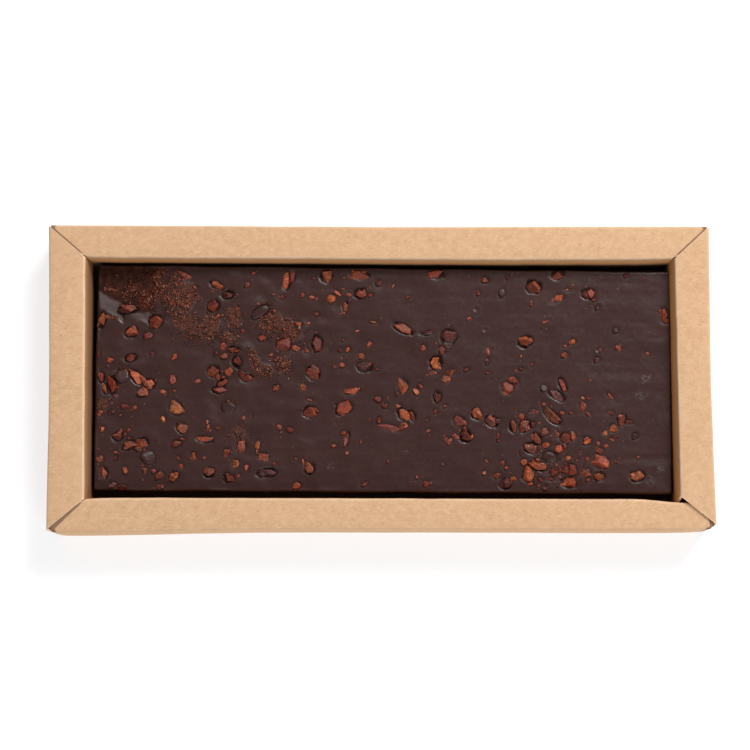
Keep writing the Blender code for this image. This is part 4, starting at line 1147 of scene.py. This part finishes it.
def build_nibs(nibs, look, coated_nib):
    """Every nib that stands out, set into the poured face."""
    chance = np.random.RandomState(NIB_SEED)
    heaps = {group: Heap() for group in ("bright", "dull", "small", "under_chocolate")}
    levels = face_levels([row[0] for row in nibs], [row[1] for row in nibs])
    for (x, y, a, b, turn, kind), level in zip(nibs, levels):
        big = a > BIG_FROM
        coated = kind == "c"
        if coated:
            base, faces = BALLS[4]
            shape, shade = fragment(base, chance, chance.randint(8, 14), 9, 0.35)
            proud, shade = 0.3 + 0.3 * b, 0.5 + 0.5 * shade[:, None]
            if a > BEAN_SHAPE * b:
                # The long one is a whole bean with blunt ends
                shape = 0.2 * shape + 0.8 * np.sign(base) * np.abs(base) ** 0.72
                proud = 0.7
            shape = shape * np.array([a, b, 0.8 * b])
        else:
            proud = min(0.3 + 0.42 * b, 1.05) * chance.uniform(0.8, 1.1)
            shape, faces, shade = broken_nib(a, b, big, chance)
        points = true_outline(shape, a, b, proud) @ turn_matrix(0.0, 0.0, turn).T
        points[:, 2] += level + proud - points[:, 2].max()
        points[:, 0] += x
        points[:, 1] += y
        points[:, 2] = np.maximum(points[:, 2], level - NIB_DEPTH)
        for axis, half in ((0, BAR_LENGTH / 2 + 0.1), (1, BAR_WIDTH / 2 + 0.1)):
            points[:, axis] = np.clip(points[:, axis], -half, half)
        tone = np.array(TINTS[kind]) * chance.uniform(0.85, 1.15)
        tone = tone * np.array([1.0, chance.uniform(0.92, 1.08), chance.uniform(0.92, 1.08)])
        # Paler faces are also less red
        colours = tone[None] * shade ** np.array([1.0, 1.2, 1.25])
        # Chocolate creeps up the foot of a nib
        foot = ease((level - points[:, 2]) / 0.2)
        films = np.clip(FILMS[kind] * chance.uniform(0.4, 1.6) + 0.7 * foot, 0, 1)
        if coated:
            group = "under_chocolate"
        elif not big:
            group = "small"
        else:
            group = "bright" if kind in "ow" else "dull"
        heaps[group].put(points, faces, colours, films)
    made = [heaps[group].make(f"nibs_{group}", look, smooth=False) for group in ("bright", "dull", "small")]
    return made + [heaps["under_chocolate"].make("nibs_under_chocolate", coated_nib)]


def build_crumbs(nibs, look):
    """Crumbs too small to place one by one: round the nibs, and a few everywhere."""
    chance = np.random.RandomState(CRUMB_SEED)
    base, faces = BALLS[2]
    heap = Heap()
    places = []
    for x, y, a, *_ in nibs:
        if a < CRUMBS_FROM:
            continue
        for _ in range(chance.poisson(CRUMBS_PER_NIB)):
            angle, away = chance.uniform(0, ROUND), a + abs(chance.normal(0, 1.5)) + 0.1
            places.append((x + away * math.cos(angle), y + away * math.sin(angle)))
    for _ in range(CRUMBS_LOOSE):
        places.append(tuple(chance.uniform(-reach, reach) for reach in CRUMB_REACH))
    half_x, half_y = BAR_LENGTH / 2 - 0.7, BAR_WIDTH / 2 - 0.9
    places = [(x, y) for x, y in places if abs(x) < half_x and abs(y) < half_y]
    levels = face_levels(*zip(*places), nibs)
    for (x, y), level in zip(places, levels):
        kind = CRUMB_KINDS[chance.randint(len(CRUMB_KINDS))]
        radius = 0.2 + 0.45 * chance.uniform(0, 1) ** 1.6
        shape, shade = fragment(base, chance, 8, 40)
        size = radius * np.array([1.0, chance.uniform(0.5, 0.9), chance.uniform(0.5, 0.8)])
        points = (shape * size) @ turn_matrix(0, 0, chance.uniform(0, ROUND)).T
        points[:, 2] += level + radius * chance.uniform(0.1, 0.5) - points[:, 2].max()
        points[:, 0] += x
        points[:, 1] += y
        hidden = chance.uniform(0.0, 0.9)
        tone = np.array(TINTS[kind]) * (1 - hidden) + np.array(TINTS["c"]) * 1.3 * hidden
        colours = tone[None] * shade[:, None] ** np.array([1.0, 1.2, 1.2])
        heap.put(points, faces, colours, np.full(len(points), FILMS[kind] * 0.6))
    return heap.make("nib_crumbs", look, smooth=False)


def build_dust(nibs, look):
    """Grains of crushed nib, gathered in clumps inside the named patches."""
    chance = np.random.RandomState(DUST_SEED)
    base, faces = BALLS[1]
    heap = Heap()
    patches = np.array(DUST)
    weights = patches[:, 2] * patches[:, 3] * patches[:, 5]
    picks = patches[chance.choice(len(patches), DUST_GRAINS, p=weights / weights.sum())]
    reach = np.abs(chance.normal(0, 0.75, DUST_GRAINS))
    angle = chance.uniform(0, ROUND, DUST_GRAINS)
    dx = reach * picks[:, 2] * PIXEL * np.cos(angle)
    dy = reach * picks[:, 3] * PIXEL * np.sin(angle)
    turn = np.radians(picks[:, 4])
    cx, cy = bar_at(picks[:, 0], picks[:, 1])
    xs = cx + np.cos(turn) * dx - np.sin(turn) * dy
    ys = cy + np.sin(turn) * dx + np.cos(turn) * dy
    curd = smooth_noise(xs / 1.3, ys / 1.3, 95) + 0.8 * smooth_noise(xs / 0.6, ys / 0.6, 96)
    keep = (curd > chance.uniform(-0.45, 0.45, len(xs))) & (np.abs(xs) < BAR_LENGTH / 2 - 0.6)
    keep &= np.abs(ys) < BAR_WIDTH / 2 - 0.7
    xs, ys, curd = xs[keep], ys[keep], curd[keep]
    tones = np.array(GRAIN_TONES)
    for x, y, thick, level in zip(xs, ys, curd, face_levels(xs, ys, nibs)):
        radius = 0.10 + 0.25 * chance.uniform(0, 1) ** 2
        points = base * radius * chance.uniform(0.45, 1.4, (len(base), 1)) * np.array([1.0, 1.0, 0.75])
        points = points + np.array([x, y, level + radius * 0.15 + 0.12 * max(thick, 0.0)])
        tone = tones[int(len(tones) * chance.uniform(0, 1) ** 1.3)] * chance.uniform(0.75, 1.25)
        heap.put(points, faces, np.tile(tone, (len(base), 1)), np.zeros(len(base)))
    return heap.make("cocoa_dust", look, smooth=False)


def build_bar():
    nibs = nib_table()
    chocolate = chocolate_look()
    nib = nib_look()
    pieces = [build_slab(nibs, chocolate)]
    pieces += build_nibs(nibs, nib, coated_look())
    pieces.append(build_crumbs(nibs, nib))
    pieces.append(build_dust(nibs, nib))
    for piece in pieces:
        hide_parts("chocolate_bar")
    return pieces


# Stage, light and camera


def build_stage():
    look = Look("white table")
    tone = look.ramp(look.noise(0.002, detail=1.0), 0.3, 0.7)
    colour = look.blend(tone, rgb(0.50, 0.50, 0.50), rgb(0.51, 0.51, 0.51))
    look.put(look.shader.inputs["Base Color"], colour)
    look.put(look.shader.inputs["Roughness"], 0.9)
    look.put(look.shader.inputs["Specular IOR Level"], 0.1)
    look.put(look.shader.inputs["Emission Color"], rgb(0.985, 1.0, 1.02))
    look.put(look.shader.inputs["Emission Strength"], TABLE_GLOW)
    corners = [(x * TABLE_HALF, y * TABLE_HALF, TABLE_TOP) for x, y in ((-1, -1), (1, -1), (1, 1), (-1, 1))]
    table = new_object("table", corners, [(0, 1, 2, 3)], look.material)


def area_light(name, place, size, power):
    """A rectangular light that looks at the middle of the case."""
    lamp = bpy.data.lights.new(name, "AREA")
    lamp.shape = "RECTANGLE"
    lamp.size, lamp.size_y = size
    lamp.energy = power
    made = bpy.data.objects.new(name, lamp)
    made.location = place
    made.rotation_euler = (-Vector(place)).to_track_quat("-Z", "Y").to_euler()
    bpy.context.scene.collection.objects.link(made)


def build_light():
    world = bpy.data.worlds.new("studio")
    bpy.context.scene.world = world
    world.use_nodes = True
    nodes, links = world.node_tree.nodes, world.node_tree.links
    where = nodes.new("ShaderNodeTexCoord")
    parts = nodes.new("ShaderNodeSeparateXYZ")
    level = nodes.new("ShaderNodeMapRange")
    for key, value in TENT.items():
        level.inputs[key].default_value = value
    links.new(where.outputs["Generated"], parts.inputs[0])
    links.new(parts.outputs["Z"], level.inputs["Value"])
    back = nodes["Background"]
    back.inputs["Color"].default_value = rgb(1.0, 1.0, 1.0)
    links.new(level.outputs[0], back.inputs["Strength"])
    for light in LIGHTS:
        area_light(*light)


def build_camera():
    camera = bpy.data.cameras.new("camera")
    camera.sensor_width = SENSOR
    camera.lens = LENS
    camera.clip_start = 0.01
    made = bpy.data.objects.new("camera", camera)
    made.location = (
        AIM[0] * MM,
        (AIM[1] - VIEW_HEIGHT * math.tan(TILT)) * MM,
        (AIM[2] + VIEW_HEIGHT) * MM,
    )
    made.rotation_euler = (TILT, 0.0, 0.0)
    bpy.context.scene.collection.objects.link(made)
    bpy.context.scene.camera = made


for piece in build_case() + build_bar():
    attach(piece, "root")
build_stage()
build_light()
build_camera()
bpy.context.scene.view_settings.view_transform = "Standard"
